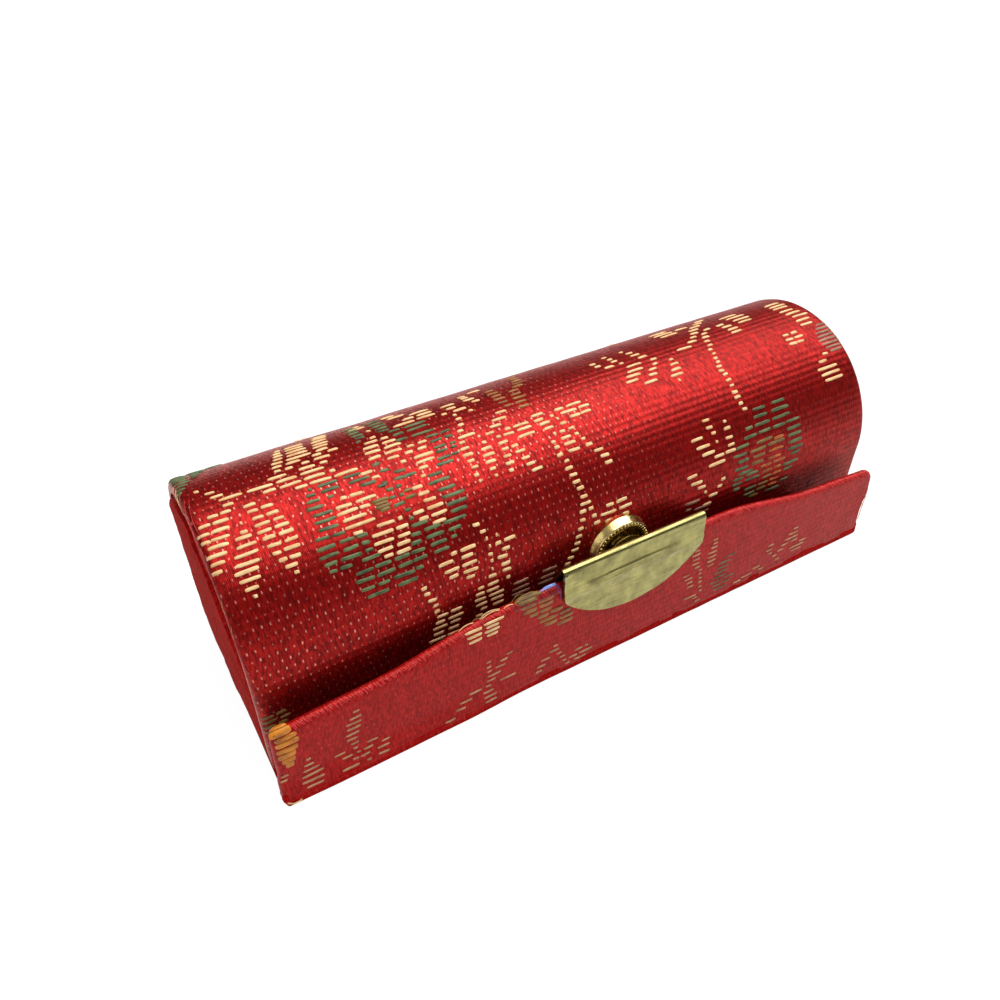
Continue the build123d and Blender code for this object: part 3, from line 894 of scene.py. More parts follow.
def makeBarrelLining():
    low, high = nodeBox("barrel_lining")
    line = Route(barrelRoute(barrel["boardInset"] + barrel["liningGap"], low.z))

    def face(u, mark):
        spot = line.at(mark) - line.outward(mark) * (satin["seat"] + 0.04 * ripple(u, mark, 5.0))
        return -u, spot.x, spot.y
    lining = clothSheet("barrelLining", steps(-high.x, high.x, satin["step"]), line.stops(1.0), face,
                        satin["softGauge"], materials["lining"])
    dress(lining, "barrel", "barrel_lining")
    stretchSheet(lining, "barrel_board", (2 * high.x * mm, line.length * mm))


makeBarrelLining()
print("flap, lid and linings covered")


# Cloth folds that the flap and the barrel turn on

folds = {"step": 1.0, "inset": 0.3, "crumple": 0.03,
         "tips": ((0.12, 0.97), (0.22, 0.88), (0.29, 0.7), (0.32, 0.4)),
         "creaseTop": 2.4, "creaseNeck": 1.6, "creaseBack": -16.6, "creaseGauge": 0.36, "swellSpan": 0.6,
         "hingeTop": 2.3, "hingeLow": 0.5, "hingeLap": 0.9}


def jointAxis(name):
    joint = next(j for j in frame["joints"] if j["name"] == name)
    return Vector(joint["pos_m"][1:]) / mm


def foldPiece(name, outline, ends, joint, seed, node, place):
    rings, coords = [], []
    reach = caseHalf - folds["inset"]
    tips = folds["tips"]    # how far each ring at the ends stands out, and its size
    stops = [(-reach - far, tight) for far, tight in reversed(tips)]
    stops += [(x, 1.0) for x in steps(-reach, reach, folds["step"])]
    stops += [(reach + far, tight) for far, tight in tips]
    middle = sum((Vector(p) for p in outline), Vector((0, 0))) / len(outline)
    for x, tight in stops:
        ring, run = [], 0.0
        for k, p in enumerate(outline):
            spot = middle + (Vector(p) - middle) * tight
            spot += (spot - middle).normalized() * folds["crumple"] * ripple(x, k, 2.5, seed)
            run += (Vector(p) - Vector(outline[k - 1])).length
            ring.append(place(x, spot.x, spot.y))
            coords.append((x, run))
        rings.append(ring)
    verts = [spot for ring in rings for spot in ring]
    fold = addObject(name, verts, tubeFaces(0, len(rings), len(outline)), materials["plain"], coords, 60)
    axis = jointAxis(joint)
    start, end = (axis + Vector(e) for e in ends)
    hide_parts(node)
    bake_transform(fold)


def aroundCircle(centre, radius, start, end, count):
    turns = [radians(start + (end - start) * k / count) for k in range(count + 1)]
    return [(centre.x + radius * cos(t), centre.y + radius * sin(t)) for t in turns]


def makeFolds():
    crease = jointAxis("flap_crease")
    low, high = nodeBox("crease_cloth")
    radius = (high.z - low.z) / 2
    front, back, inner = crease.x - radius, folds["creaseBack"], crease.x - radius + folds["creaseGauge"]
    neck, top = folds["creaseNeck"], folds["creaseTop"]
    outline = [(front + 0.02, top), (front, neck)] + aroundCircle(crease, radius, 180, 270, 10)
    outline += [(back, 0.02), (back, 0.3), (crease.x + 0.62, 0.3)] + aroundCircle(crease, radius, -40, 88, 10)
    outline += [(inner, neck), (inner, top)]
    spread = radius * 0.75

    def puffed(x, y, z):
        span = folds["swellSpan"]
        share = ease(crease.x + span / 2 - y, 0, span)
        return flapPlace(x, z)[0], y - creaseSwell(x, z) * share, max(z, 0.01)
    foldPiece("creaseCloth", outline, ((spread, -spread), (-spread, spread)), "flap_crease", 7.0,
              "crease_cloth", puffed)
    hinge = jointAxis("barrel_hinge")
    low, high = nodeBox("hinge_cloth")
    radius = (high.z - low.z) / 2
    top, lap = folds["hingeTop"], lidHigh.y - 0.2
    outline = aroundCircle(hinge, radius, -110, 70, 12) + [(hinge.x + 0.12, top), (hinge.x - 0.2, top)]
    outline += aroundCircle(hinge, radius, 110, 200, 6) + [(lap, folds["hingeLap"]), (lap, folds["hingeLow"])]
    foldPiece("hingeCloth", outline, ((-0.1, -0.45), (0.1, 0.45)), "barrel_hinge", 9.0,
              "hinge_cloth",
              lambda x, y, z: (x, y, z))


makeFolds()
print("folds made")


# Clip: one brass sheet folded over the flap's edge, with two rolled ridges

clip = {"gauge": 0.33, "footRadius": 13.8, "corner": 2.0, "foldRadius": 0.58, "knee": 0.3,
        "ridges": (15.35, 14.45),
        "ridgeRise": 0.26, "ridgeWidth": 0.36, "ridgeBow": 0.6, "dent": 0.05, "innerFoot": 9.5,
        "groove": 0.06,
        "nick": (9.2, 14.9), "bends": 14, "edgeColumns": (9.4, 9.8, 10.1, 10.3, 10.42, 10.5)}


def clipFoot(reach):
    half = (clipHigh.x - clipLow.x) / 2
    radius, corner = clip["footRadius"], clip["corner"]
    centre = clipLow.z + radius
    cornerX = half - corner
    cornerZ = centre - sqrt((radius - corner) ** 2 - cornerX ** 2)
    if reach > cornerX * radius / (radius - corner):
        return cornerZ - sqrt(max(0.0, corner ** 2 - (reach - cornerX) ** 2))
    return centre - sqrt(radius ** 2 - reach ** 2)


def makeClip():
    front, rear, top = clipLow.y, clipHigh.y, clipHigh.z
    radius = clip["foldRadius"]
    foldY, foldZ = front + radius, top - radius
    knee = flapTopHeight + clip["knee"]
    points = [(front, clipLow.z), (front, foldZ)]
    bends = clip["bends"]
    turns = [pi * k / bends for k in range(1, bends + 1)]
    points += [(foldY - radius * cos(t), foldZ + radius * sin(t)) for t in turns]
    points += [(rear, knee), (rear, clip["innerFoot"])]
    line = Route(points)
    half = (clipHigh.x - clipLow.x) / 2
    tall, total, inside = foldZ - clipLow.z, line.length, line.marks[bends + 3]
    columns = [0.0] + steps(0.6, 9.0, 0.6) + list(clip["edgeColumns"]) + [half]
    columns = [-c for c in reversed(columns[1:])] + columns
    marks = steps(0, tall, 0.14) + line.marks[2:bends + 3] + steps(inside, total, 0.4)[1:]

    def bent(u, mark):    # the sheet's middle: up the outer leaf, round the fold and down inside
        foot = clipFoot(abs(u)) - clipLow.z
        if mark < tall:
            mark = foot + (tall - foot) * mark / tall
        elif mark > inside:
            mark = inside + (total - max(0.0, foot - 1.2) * 0.6 - inside) * (mark - inside) / (total - inside)
        return line.at(mark), line.outward(mark, 0.04), mark <= tall

    def face(u, mark):
        spot, outward, leaf = bent(u, mark)
        y, z = spot
        lift = 0.0
        if leaf:
            for ridge in clip["ridges"]:
                middle = ridge - clip["ridgeBow"] * (u / half) ** 2 + 0.08 * ripple(u, ridge, 6.0, 3.0)
                fading = 1 - 0.5 * abs(u / half) ** 3
                lift += clip["ridgeRise"] * fading * exp(-((z - middle) / clip["ridgeWidth"]) ** 2)
            lift -= clip["groove"] * exp(-((z - foldZ + 0.35) / 0.22) ** 2)
            dents = ripple(u, z, 3.2, 8.0) + 0.5 * ripple(u, z, 1.3, 9.0) + 0.25 * ripple(u, z, 0.6, 2.0)
            lift += clip["dent"] * dents
            nick = hypot((u - clip["nick"][0]) / 0.9, (z - clip["nick"][1]) / 0.14)
            lift += 0.1 * exp(-nick ** 2) + 0.05 * (u / half) ** 2
        return clipMiddle + u, y + outward.x * lift, z + outward.y * lift

    def back(u, mark):
        spot, outward = bent(u, mark)[:2]
        return clipMiddle + u, spot.x - outward.x * clip["gauge"], spot.y - outward.y * clip["gauge"]
    sheetMetal = clothSheet("claspClip", columns, marks, face, clip["gauge"], materials["clip"], back)
    dress(sheetMetal, "flap", "clasp_clip")


makeClip()


# Press button: turned brass cup with a milled bead ring

button = {"taper": 0.25, "rise": 1.15, "skirt": 1.0, "edge": 0.16, "ringInset": 0.41, "bead": 0.27,
          "beads": 44,
          "cup": 3.3, "cupDepth": 0.95, "beadSides": 10, "beadRings": 6}
capLow, capHigh = nodeBox("button_cap")
buttonRadius = (capHigh.x - capLow.x) / 2
buttonCentre = Vector(((capLow.x + capHigh.x) / 2, -barrelRadius, (capLow.z + capHigh.z) / 2))


def buttonSeat(x, y, height):
    return buttonCentre.x + x, buttonCentre.y - height, buttonCentre.z + y


def makeButton():
    face, rise, edge = buttonRadius - button["taper"], button["rise"], button["edge"]
    ring = face - button["ringInset"]
    bead, cup, floorHeight = button["bead"], button["cup"], button["rise"] - button["cupDepth"]
    profile = [(0, -button["skirt"]), (buttonRadius - 0.1, -button["skirt"]), (buttonRadius, -0.1),
               (buttonRadius + 0.04, 0.05), (buttonRadius - 0.02, 0.14), (face + 0.02, rise - edge * 1.5)]
    profile += [(face - edge * (1 - cos(t)), rise - edge + edge * sin(t)) for t in (0.3, 0.7, 1.1, 1.5)]
    profile += [(ring + bead, rise - 0.02), (ring + bead * 0.9, rise - 0.16),
                (ring - bead * 0.9, rise - 0.16),
                (ring - bead, rise - 0.02), (cup + 0.03, rise), (cup - 0.05, rise - 0.03),
                (cup - 0.12, rise - 0.12),
                (cup - 0.22, floorHeight + 0.15), (cup - 0.38, floorHeight), (0, floorHeight)]
    cap = turnedPiece("buttonCap", profile, buttonSeat, materials["gold"])
    dress(cap, "barrel", "button_cap")
    verts, faces = [], []
    around, levels = button["beadSides"], button["beadRings"]
    for k in range(button["beads"]):
        spin = 2 * pi * k / button["beads"]
        pitch = pi * ring / button["beads"]
        base = len(verts)
        for j in range(levels + 1):
            tilt = pi * j / levels
            for i in range(around if 0 < j < levels else 1):
                turn = 2 * pi * i / around
                r = ring + bead * sin(tilt) * cos(turn)
                t = pitch * 1.02 * sin(tilt) * sin(turn)
                h = rise - 0.14 + 0.26 * cos(tilt)
                verts.append(buttonSeat(r * cos(spin) - t * sin(spin), r * sin(spin) + t * cos(spin), h))
        for i in range(around):
            n = (i + 1) % around
            faces.append((base, base + 1 + i, base + 1 + n))
            for j in range(levels - 2):
                a = base + 1 + j * around
                faces.append((a + i, a + around + i, a + around + n, a + n))
            last = base + 1 + (levels - 2) * around
            faces.append((last + i, last + around, last + n))
    beads = addObject("buttonBeads", verts, faces, materials["gold"], sharp=80)
    dress(beads, "barrel", "button_beads")


makeButton()


# Pieces that keep their shape from the frame

kept = {"lid_board": "board", "barrel_board": "board", "end_board_left": "board", "end_board_right": "board",
        "flap_board": "board", "mirror_tape": "tape", "mirror_backing": "silver", "mirror_glass": "glass",
        "button_rivet": "gold", "button_washer": "steel", "clasp_stud": "gold"}
for node, finish in kept.items():
    frame["nodes"][node].material_slots[0].material = materials[finish]
print("metal and card finished")


# Brocade figures: coloured silk floats laid over the ground in rows.
# A row is its height, then the start and end of each float, all in millimetres.

leafLow = [
    (34.2, -43.3, -42.1, -41.9, -40.7), (33.3, -44.5, -43.2, -43, -41.2),
    (31.4, -44.8, -43.8, -43.7, -41.8), (32.3, -45, -43.6, -43.4, -41.5, -40.5, -40.2),
    (30.6, -44.4, -42.2), (29.7, -45, -42.7), (28.8, -44.8, -43.2), (28, -45, -43.7)]
leafMiddle = [
    (31.2, -40.8, -40), (30.6, -41.5, -39.8), (29.7, -41.8, -39.6), (28.8, -42.3, -39.7),
    (27.9, -42.5, -40), (27.1, -42.9, -40.3), (26.2, -42.7, -40.5), (25.3, -42.5, -41),
    (24.45, -41.9, -41.4)]
leafWide = [
    (34.1, -39.5, -38.1), (33.3, -39.3, -38.2, -38.0, -36.6), (32.3, -39.2, -37.9, -37.7, -36.3),
    (31.4, -39.3, -37.5, -37.3, -36), (30.6, -39.3, -37.8, -37.5, -35.9), (29.7, -39, -37.6, -37.4, -35.7),
    (28.8, -38.9, -37.4, -37.1, -35.5), (27.9, -38.7, -37.7, -37.5, -35.6), (27, -38.4, -37.4, -37.3, -36),
    (26.15, -38, -36.6), (25.3, -37.3, -36.8)]
branchLeft = [
    (43.9, -28.7, -26.7), (43, -33.3, -32.5, -32.2, -29.9, -28.9, -26.9),
    (42.1, -33.7, -32.7, -32.3, -30, -29.2, -27.2), (41.2, -34, -32.8, -32.5, -30, -29.4, -27.4),
    (40.4, -34.3, -33, -32.7, -30, -29.5, -27.7), (39.5, -34.6, -33.3, -33, -30, -29.5, -28),
    (38.7, -43.4, -42.8, -34.9, -33.6, -33.3, -31.5, -30.2, -29, -28.4, -27.1),
    (37.8, -42.5, -41.3, -34.9, -34, -33.6, -32.7, -31.8, -30.7, -30.3, -28.3),
    (36.9, -42.2, -40.7, -35.9, -33.7, -32.4, -30.4, -30, -29),
    (36.05, -41.5, -38.9, -38.5, -35.6, -35.3, -32.9, -32.6, -29.7),
    (35.15, -41.3, -40.2, -37, -35.5, -35.2, -32.7, -32.5, -30, -29.5, -28.8),
    (34.3, -33.8, -32.3, -32.1, -29.6, -29.3, -26.5)]
petalsLow = [
    (33.3, -26.6, -25.2), (32.4, -25.7, -24.7), (31.2, -29.9, -29.2, -28.9, -27.3),
    (30.3, -30.8, -28.9, -28.6, -26.1), (29.5, -31.1, -28.6, -28.4, -27.1),
    (28.6, -30.8, -27.9, -27.6, -27.4), (27.8, -30.8, -27.2), (26.95, -30.2, -29, -27.6, -25.4, -25, -24.4),
    (26, -28.4, -25.9, -25.6, -24.1), (25.1, -28.6, -26.1, -25.8, -24.3),
    (24.3, -28.5, -26.6, -26.2, -24.5), (23.5, -27.9, -26.8, -26.5, -24.8)]
petalsHigh = [
    (43.1, -25, -22.8, -20.0, -18.2), (42.2, -24.6, -22.4, -19.6, -17.3), (41.3, -17, -14.3),
    (40.4, -22.9, -22.3, -18.3, -16.7, -16.4, -14.3), (39.5, -19.9, -17, -16.8, -14.3),
    (38.65, -23.3, -22.4), (37.8, -24.3, -22.5, -22.2, -21.2), (36.85, -24.8, -22.8, -22.5, -20.7),
    (36, -25, -23, -22.7, -20.5), (35.05, -25, -23.4, -23, -20.8, -20.3, -19.2, -18.9, -17.7),
    (34.2, -23, -21.5, -20.9, -19.8, -19.3, -18.2), (33.2, -21.9, -21.2, -20.3, -17.7), (32.4, -20.4, -18),
    (31.6, -20.4, -19.2), (30.6, -20.7, -20), (29.6, -22.1, -20.8), (28.7, -21.8, -20.5),
    (27.8, -21.5, -20), (26.9, -23.2, -21.9, -21.6, -19.5), (26, -22.8, -21.6, -21.4, -19.4),
    (25.15, -21.6, -19.8)]
budsLeft = [
    (23.35, -17.2, -16.4), (22.35, -16.7, -15.8), (21.4, -16.2, -15.9, -14.9, -14.6),
    (20.45, -16, -15.7, -15.2, -14.4, -14, -12.5), (19.55, -16.3, -15.8, -14.6, -13.5),
    (18.7, -16.2, -15.9, -15.3, -14), (17.7, -16.3, -16, -15.1, -13.8), (16.85, -16.8, -15.7, -15, -13.7),
    (15.85, -18.4, -17.5, -17.1, -15.5, -14.6, -14), (15, -18.7, -17.5, -17.3, -15.5),
    (14.2, -19, -17.3, -17.1, -15), (13.4, -18.9, -17.2, -16.9, -15), (12.6, -18.2, -17.3, -16.6, -15),
    (11.7, -18.8, -17.8), (21.2, -20.7, -19.9, -19.5, -17.5), (20.4, -22.5, -20.6, -19.6, -18),
    (19.4, -22, -20, -19.8, -17.7), (18.6, -25, -24.3, -21.6, -20.3, -19.8, -17.8),
    (17.8, -24.9, -24, -19.6, -18.4), (16.85, -24.6, -23.4), (16, -24, -23.3), (15.1, -24, -23.2),
    (14.2, -23.8, -22.3, -22, -20.5), (13.3, -24, -22.7, -22.4, -20.3), (12.45, -24.4, -22.5, -22.2, -20.7),
    (11.55, -24.3, -22.9, -22.5, -21), (10.65, -25, -22.8, -22.6, -20.2)]
twigsMiddle = [
    (42.7, -8.4, -6.5), (42, -10, -8.9), (41.3, -10, -8.9), (40.5, -13.2, -11.1, -10, -8.4),
    (39.6, -12.8, -11.5, -9.3, -8.2), (38.7, -13.8, -13.1, -12.3, -10.5),
    (37.8, -12.8, -12.3, -10.7, -10.1), (36.9, -13, -12.1), (35.8, -13.2, -12.4, -8.2, -6.6),
    (34.8, -13.8, -13, -9.2, -7.2), (33.9, -14.3, -11.9, -10, -8.4),
    (33.15, -14.5, -13.6, -12, -11.6, -11, -9.8),
    (32.25, -14.8, -13.6, -12, -11.4, -10, -9.3, -9.1, -7.5, -7.2, -5.1),
    (31.35, -14.9, -13.6, -12.5, -11.1, -10.2, -8.9, -7.6, -5.1), (32.95, -8.5, -7.7, -7.4, -5.2),
    (30.5, -14.8, -13.8, -12.8, -11.1, -10.2, -9.3, -9, -8),
    (29.6, -14.7, -13.8, -12.9, -11.4, -10.5, -9.4, -8.8, -7.5),
    (28.65, -14.8, -14.1, -12.7, -11.9, -10.7, -9.5, -8.5, -7.3),
    (27.8, -14.5, -14.3, -12.5, -12.1, -10.6, -9.9, -8.3, -7), (26.9, -7.9, -6.4)]
stemMiddle = [
    (33.5, -4.5, -2.7), (32.7, -4.6, -3.2), (32.0, -4.2, -2.7), (31.2, -4, -2.6), (32.7, -2.2, -1.7),
    (32, -1.7, -1.3), (31.2, -1.7, -0.8), (30.25, -3.2, -2.8, -2.3, -1.6, -1.1, -0.2),
    (29.3, -4.1, -3.4, -2.65, -1.1, -0.7, 0), (28.5, -4, -3.2, -2.65, -1, -0.25, 0.4),
    (27.55, -4.1, -3.2, -2.5, -0.8, 0, 1), (26.6, -3.6, -2.9, 0.7, 2.1), (25.7, -3.8, -2.65, 1.3, 2.5),
    (24.8, -3.6, -2.5, 1.5, 2.7), (23.9, -3.5, -2.4), (23, -3.3, -2.2), (21.9, -3.05, -2.05),
    (21.05, -3.4, -1.8), (20.2, -3.65, -2.7, -2.4, -1.7), (19.15, -3.9, -3.05, -2.2, -1.45),
    (18.2, -4.4, -3.5, -2, -1.1), (17.35, -4.8, -3.8), (16.5, -5.1, -4.1), (15.7, -5.5, -4.4),
    (14.8, -6.1, -5.1), (14.05, -6.5, -5.7), (33.3, -1.3, 0.1, 0.4, 2.7), (32.55, -0.8, 1.55, 1.75, 3.5),
    (31.75, 0, 1.5, 1.6, 3.2), (19.75, 0, 1.3, 1.6, 3.2), (18.85, -0.9, 1.55, 1.85, 3.9),
    (17.85, -0.4, 1.95, 2.25, 3.2)]
sprayRight = [
    (40.3, 10.7, 11.5, 13.6, 14.3), (39.4, 8.2, 9.2, 11, 11.8, 14, 15.2),
    (38.55, 8.4, 9.4, 11, 12, 14.1, 15.6), (37.65, 9.3, 10.8, 11.7, 12.4, 14.75, 16.3),
    (36.5, 12, 14.4, 15.8, 16.9), (35.5, 11.35, 14, 15.4, 16.3), (34.7, 10.6, 13, 14.3, 15.6),
    (33.85, 10, 12, 13.6, 15.1), (32.85, 12.2, 14.4), (35.35, 18, 18.85), (34.4, 17.5, 19),
    (33.4, 17, 18.65), (32.6, 16.35, 18.4), (31.7, 16.9, 17.3)]
budsRight = [
    (25.4, 17, 18.2), (24.4, 17.2, 18.3, 20.1, 20.6), (23.5, 14.4, 16.3, 17.7, 18.5, 19.9, 20.9),
    (22.3, 14.9, 17.1, 18.1, 18.5, 19.7, 20.9), (21.3, 15.4, 17.6, 19.8, 21), (20.5, 17.4, 19.1, 19.2, 21),
    (19.6, 16.2, 19.1), (19.1, 12.6, 14.3), (18.1, 13, 15), (17.2, 14, 15.5, 18.1, 18.8),
    (16.3, 15.2, 15.7, 17.4, 18.2), (15.4, 16, 17.6), (14.3, 15, 16.6)]
stemRight = [
    (43, 20.6, 24.0, 29, 30.8), (42.1, 20.9, 24.3, 24.8, 27.0, 27.8, 29.6),
    (41.2, 21.2, 24.5, 26.5, 28.5, 31.9, 35.3), (40.3, 25.6, 27.4, 32.5, 35.9),
    (39.3, 25, 26.4, 27.4, 28.7, 29.7, 31.2, 32.8, 35.9),
    (38.4, 24.3, 25.4, 26.3, 27.4, 30.1, 31.8, 33, 35.6), (37.5, 23, 24.6, 25.7, 26.9, 30.3, 32.1),
    (36.6, 20.4, 23, 25.2, 26.2, 30.1, 32.1), (35.7, 25, 25.9), (34.8, 24.4, 25.1), (34, 24.3, 25),
    (33.1, 24, 24.7), (32.5, 23.8, 24.5), (31.75, 23.4, 24.25), (31.0, 23.3, 24.2), (30.3, 23.4, 24.3),
    (29.4, 23.4, 24.3), (28.6, 23.4, 24.2), (27.6, 23.3, 24.2), (26.8, 23.3, 24.3), (25.9, 23.5, 24.25),
    (25.1, 23.75, 24.5)]
tipsRight = [
    (33.1, 36.5, 37.6, 38, 39.2), (32.2, 36.3, 37.8, 38, 39.6), (31.4, 36.4, 37.8, 37.9, 39.2),
    (40.5, 40, 43), (39.6, 40, 43.2), (38.8, 40, 43), (37.6, 40.2, 42.8), (36.7, 40.4, 43.4),
    (35.8, 40.9, 44), (34.8, 40.6, 43.4), (33.9, 40.6, 43), (28.4, 40.4, 41.5), (27.5, 39, 40.6),
    (26.5, 38.2, 42), (25.6, 38.5, 42.1), (24.8, 38.7, 42.3)]
greenLeft = [
    (48.2, -45, -43, -42.8, -41, -40.8, -39.2), (47.4, -45, -43, -42.8, -40.9, -40.7, -38.6),
    (46.6, -45, -43.2, -43, -41.2, -41, -38.8), (45.8, -45, -43, -42.8, -40.6, -40.4, -39.4),
    (44.9, -45, -43, -42.8, -41), (44, -45, -42.9, -42.7, -41.6), (43.1, -45, -43.2, -43, -42),
    (42.2, -45, -43), (41.3, -45.2, -43.4), (40.4, -45.1, -43.8), (39.6, -45.2, -44.3),
    (33.6, -32.7, -32.2, -31.6, -29.2, -28.6, -26.5), (32.75, -33.2, -32.1, -31.5, -29.3, -28.4, -25.8),
    (31.95, -33.5, -31.9, -31.2, -30.4, -27.3, -25.4), (31.15, -33.7, -31.8, -25.7, -24.4),
    (30.3, -33.5, -31.1), (29.4, -33.6, -31.1), (28.5, -33.4, -31.1), (27.6, -34.3, -32.6, -32.4, -30.9),
    (26.6, -34.5, -32.3, -31.9, -30.2, -30.0, -28.6), (25.7, -34.5, -32.3, -31.9, -30, -29.8, -28.8),
    (24.85, -34.3, -32.8, -32.5, -30, -29.7, -28.7), (24.05, -34, -33, -32.8, -31.4, -30.4, -28.2),
    (22.9, -31.5, -29.4, -29.2, -27.3, -27, -25.1), (22, -31.7, -29.5, -29.3, -27.1, -26.9, -25),
    (21, -31.5, -29.8, -29.6, -28, -27.6, -25), (20.1, -31, -28.4, -27.5, -25)]
greenMiddle = [
    (43, -24.9, -23.4, -22.2, -20.2), (41.9, -25, -23.3, -22.2, -20.1), (41, -25, -23.5, -22.1, -20.1),
    (40.1, -25, -23.4, -22, -20.3), (39.4, -24.8, -23.5, -22, -20.4),
    (38.6, -25, -24.3, -20.9, -19.3, -19, -16), (37.75, -20.7, -19.3, -19, -16.3),
    (36.5, -20.9, -19.3, -19, -15.9), (35.55, -17.6, -15.9, -15.7, -14.3),
    (34.7, -17.6, -15.9, -15.6, -14.5), (34, -25, -23.9), (33.6, -17.5, -15.9, -15.6, -14.6),
    (32.95, -24.6, -23.5, -17.5, -16, -15.7, -14.9), (32.2, -23.2, -21.7), (32, -17.9, -16.1, -16, -15.1),
    (31.35, -25, -24.4, -23.6, -20.7, -18.4, -16.1), (30.4, -24.9, -24, -23.8, -23, -19.9, -18),
    (29.4, -24.9, -24.2, -23.8, -23.2, -20.3, -17.5), (28.4, -24.9, -23.5, -19.6, -17.3),
    (27.5, -24, -23.2, -19.5, -16.5), (26.5, -23.9, -23.3, -19.3, -16.7), (25.65, -24, -21.9, -19.2, -17),
    (24.75, -24.4, -23.1, -22.8, -20.7, -20.5, -17.5), (23.85, -24.7, -23.4, -22.8, -20.6, -20.1, -18.5),
    (22.95, -25, -23.2, -22.7, -20.5, -20.1, -19.3), (22.05, -25, -23.2, -22.5, -20.6), (21.1, -25, -24)]
greenRight = [
    (24.5, 25.2, 27.4, 28.5, 31), (23.5, 25, 27.4, 28, 31.3), (22.5, 23.2, 24.5, 24.8, 27.6, 27.9, 31.2),
    (21.4, 22.6, 24.9, 25.1, 27.4, 27.7, 30, 30.1, 32.6), (20.45, 21, 23.4, 30.1, 32.7),
    (19.45, 20.4, 22.9, 30.1, 32.7), (18.5, 21.0, 23.0, 30.1, 32.7), (17.6, 20.4, 22.9, 29.9, 32.9),
    (16.8, 21, 23.7, 30.4, 32.3), (16.2, 20.2, 22, 22.4, 24.6), (15.5, 20, 21.8, 22.3, 25, 29, 32),
    (14.7, 20.3, 21.5, 29.3, 31), (13.9, 22.3, 24.6), (13, 22.4, 24.5, 29, 30.6), (12.1, 26.5, 29.3)]
bronzeParts = [
    (29.6, -27.1, -25, -23.2, -22.1), (29.2, -26.9, -25.2), (28.8, -26.9, -25.1, -23.3, -22),
    (28.4, -26.6, -25.3), (20.2, 24.5, 27.5), (19.3, 23.2, 26.2, 26.3, 29.6), (18.4, 23.7, 25.9),
    (17.5, 23.4, 25.6), (14.8, 25.4, 27.3), (13.9, 24.8, 26.7), (13.1, 24.7, 26.5), (12.3, 23.5, 25.4)]
rustParts = [
    (18.4, 26.5, 29.3), (17.4, 26.2, 28.7), (16.6, 24.9, 27, 27.2, 29.6), (15.7, 25.2, 27.2, 27.4, 28.8),
    (14.8, 27.5, 29), (13.9, 26.9, 28.7), (13.1, 26.7, 28.6), (19.9, 27.6, 29.4)]
blobLeft = [
    (9.9, -45, -43.5, -43.3, -42.1), (9.1, -45, -43.2, -43, -41.7), (8.3, -45.1, -43.4, -43.2, -42.2),
    (7.5, -45, -43.5)]
# twig floats in the shade just above the flap, woven in the darker taupe silk: painted shade
shadeRows = [
    (14.4, -13.8, -11.6, -9.8, -7.6), (13.9, -6.5, -5.7), (13.5, -14, -11.4, -10, -7.9),
    (12.7, -14.1, -11.3, -10.3, -8.1), (15.5, 11.9, 14.6), (14.65, 12.2, 13.1), (14.2, 13.5, 16.6),
    (13.3, 15.2, 16.2)]
patchRight = [
    (33, 42.9, 44.8), (32.35, 42.2, 44.9), (31.7, 41.6, 44.9), (31.05, 41.4, 44.9), (30.4, 41.2, 44.9),
    (29.75, 41.3, 44.9), (29.1, 41.5, 44.7), (28.5, 42, 44.3)]
mossParts = [
    (43.6, -2, -0.6), (42.7, -2.2, -0.6), (41.8, -2.4, -0.8), (41, -6.7, -5.3, -2.7, -1),
    (40.1, -6.9, -5.2, -3.2, -1.6), (39.2, -6.8, -5.3, -4.3, -2.6), (38.3, -6.9, -5.2, -4.6, -3),
    (37.4, -6.8, -5.4, -4.8, -2.8), (36.5, -6.6, -5.4, -5.0, -3.2), (35.6, -5, -3.4)]

flapFan = [
    (12.15, -44.6, -42.7), (11.25, -44.6, -42.1), (10.35, -44.6, -42), (9.45, -44.6, -42.3),
    (8.6, -44.6, -42.6), (7.75, -44.4, -42.8), (7.0, -44.1, -43.1)]
flapLeaves = [
    (5.4, -44.8, -44), (4.7, -44.9, -44.1), (6.35, -41.9, -41.3), (5.45, -42.3, -41.1), (4.6, -42.5, -40.6),
    (3.75, -42.8, -40.2), (2.95, -42.8, -40.3), (2.15, -42.5, -40.5), (10.5, -36, -35.2), (9.6, -36.5, -35),
    (8.75, -37, -35.2), (7.95, -37, -35.4), (7.15, -37.3, -35.6), (6.3, -37.2, -35.9), (5.5, -36.9, -35.9),
    (4.6, -39, -37.6, -36.7, -36.1, -35.1, -33.7),
    (3.8, -38.1, -36.8, -36.4, -35.9, -35.6, -34.3, -33.3, -32.4),
    (3, -37, -36.2, -36.1, -34.9, -34, -32.5), (2.15, -38.4, -36.4, -35.5, -34.9, -34.1, -32.7),
    (4.6, -21.9, -20.2), (3.75, -23.3, -21.6), (2.9, -24, -22.6), (2.0, -25.5, -24)]
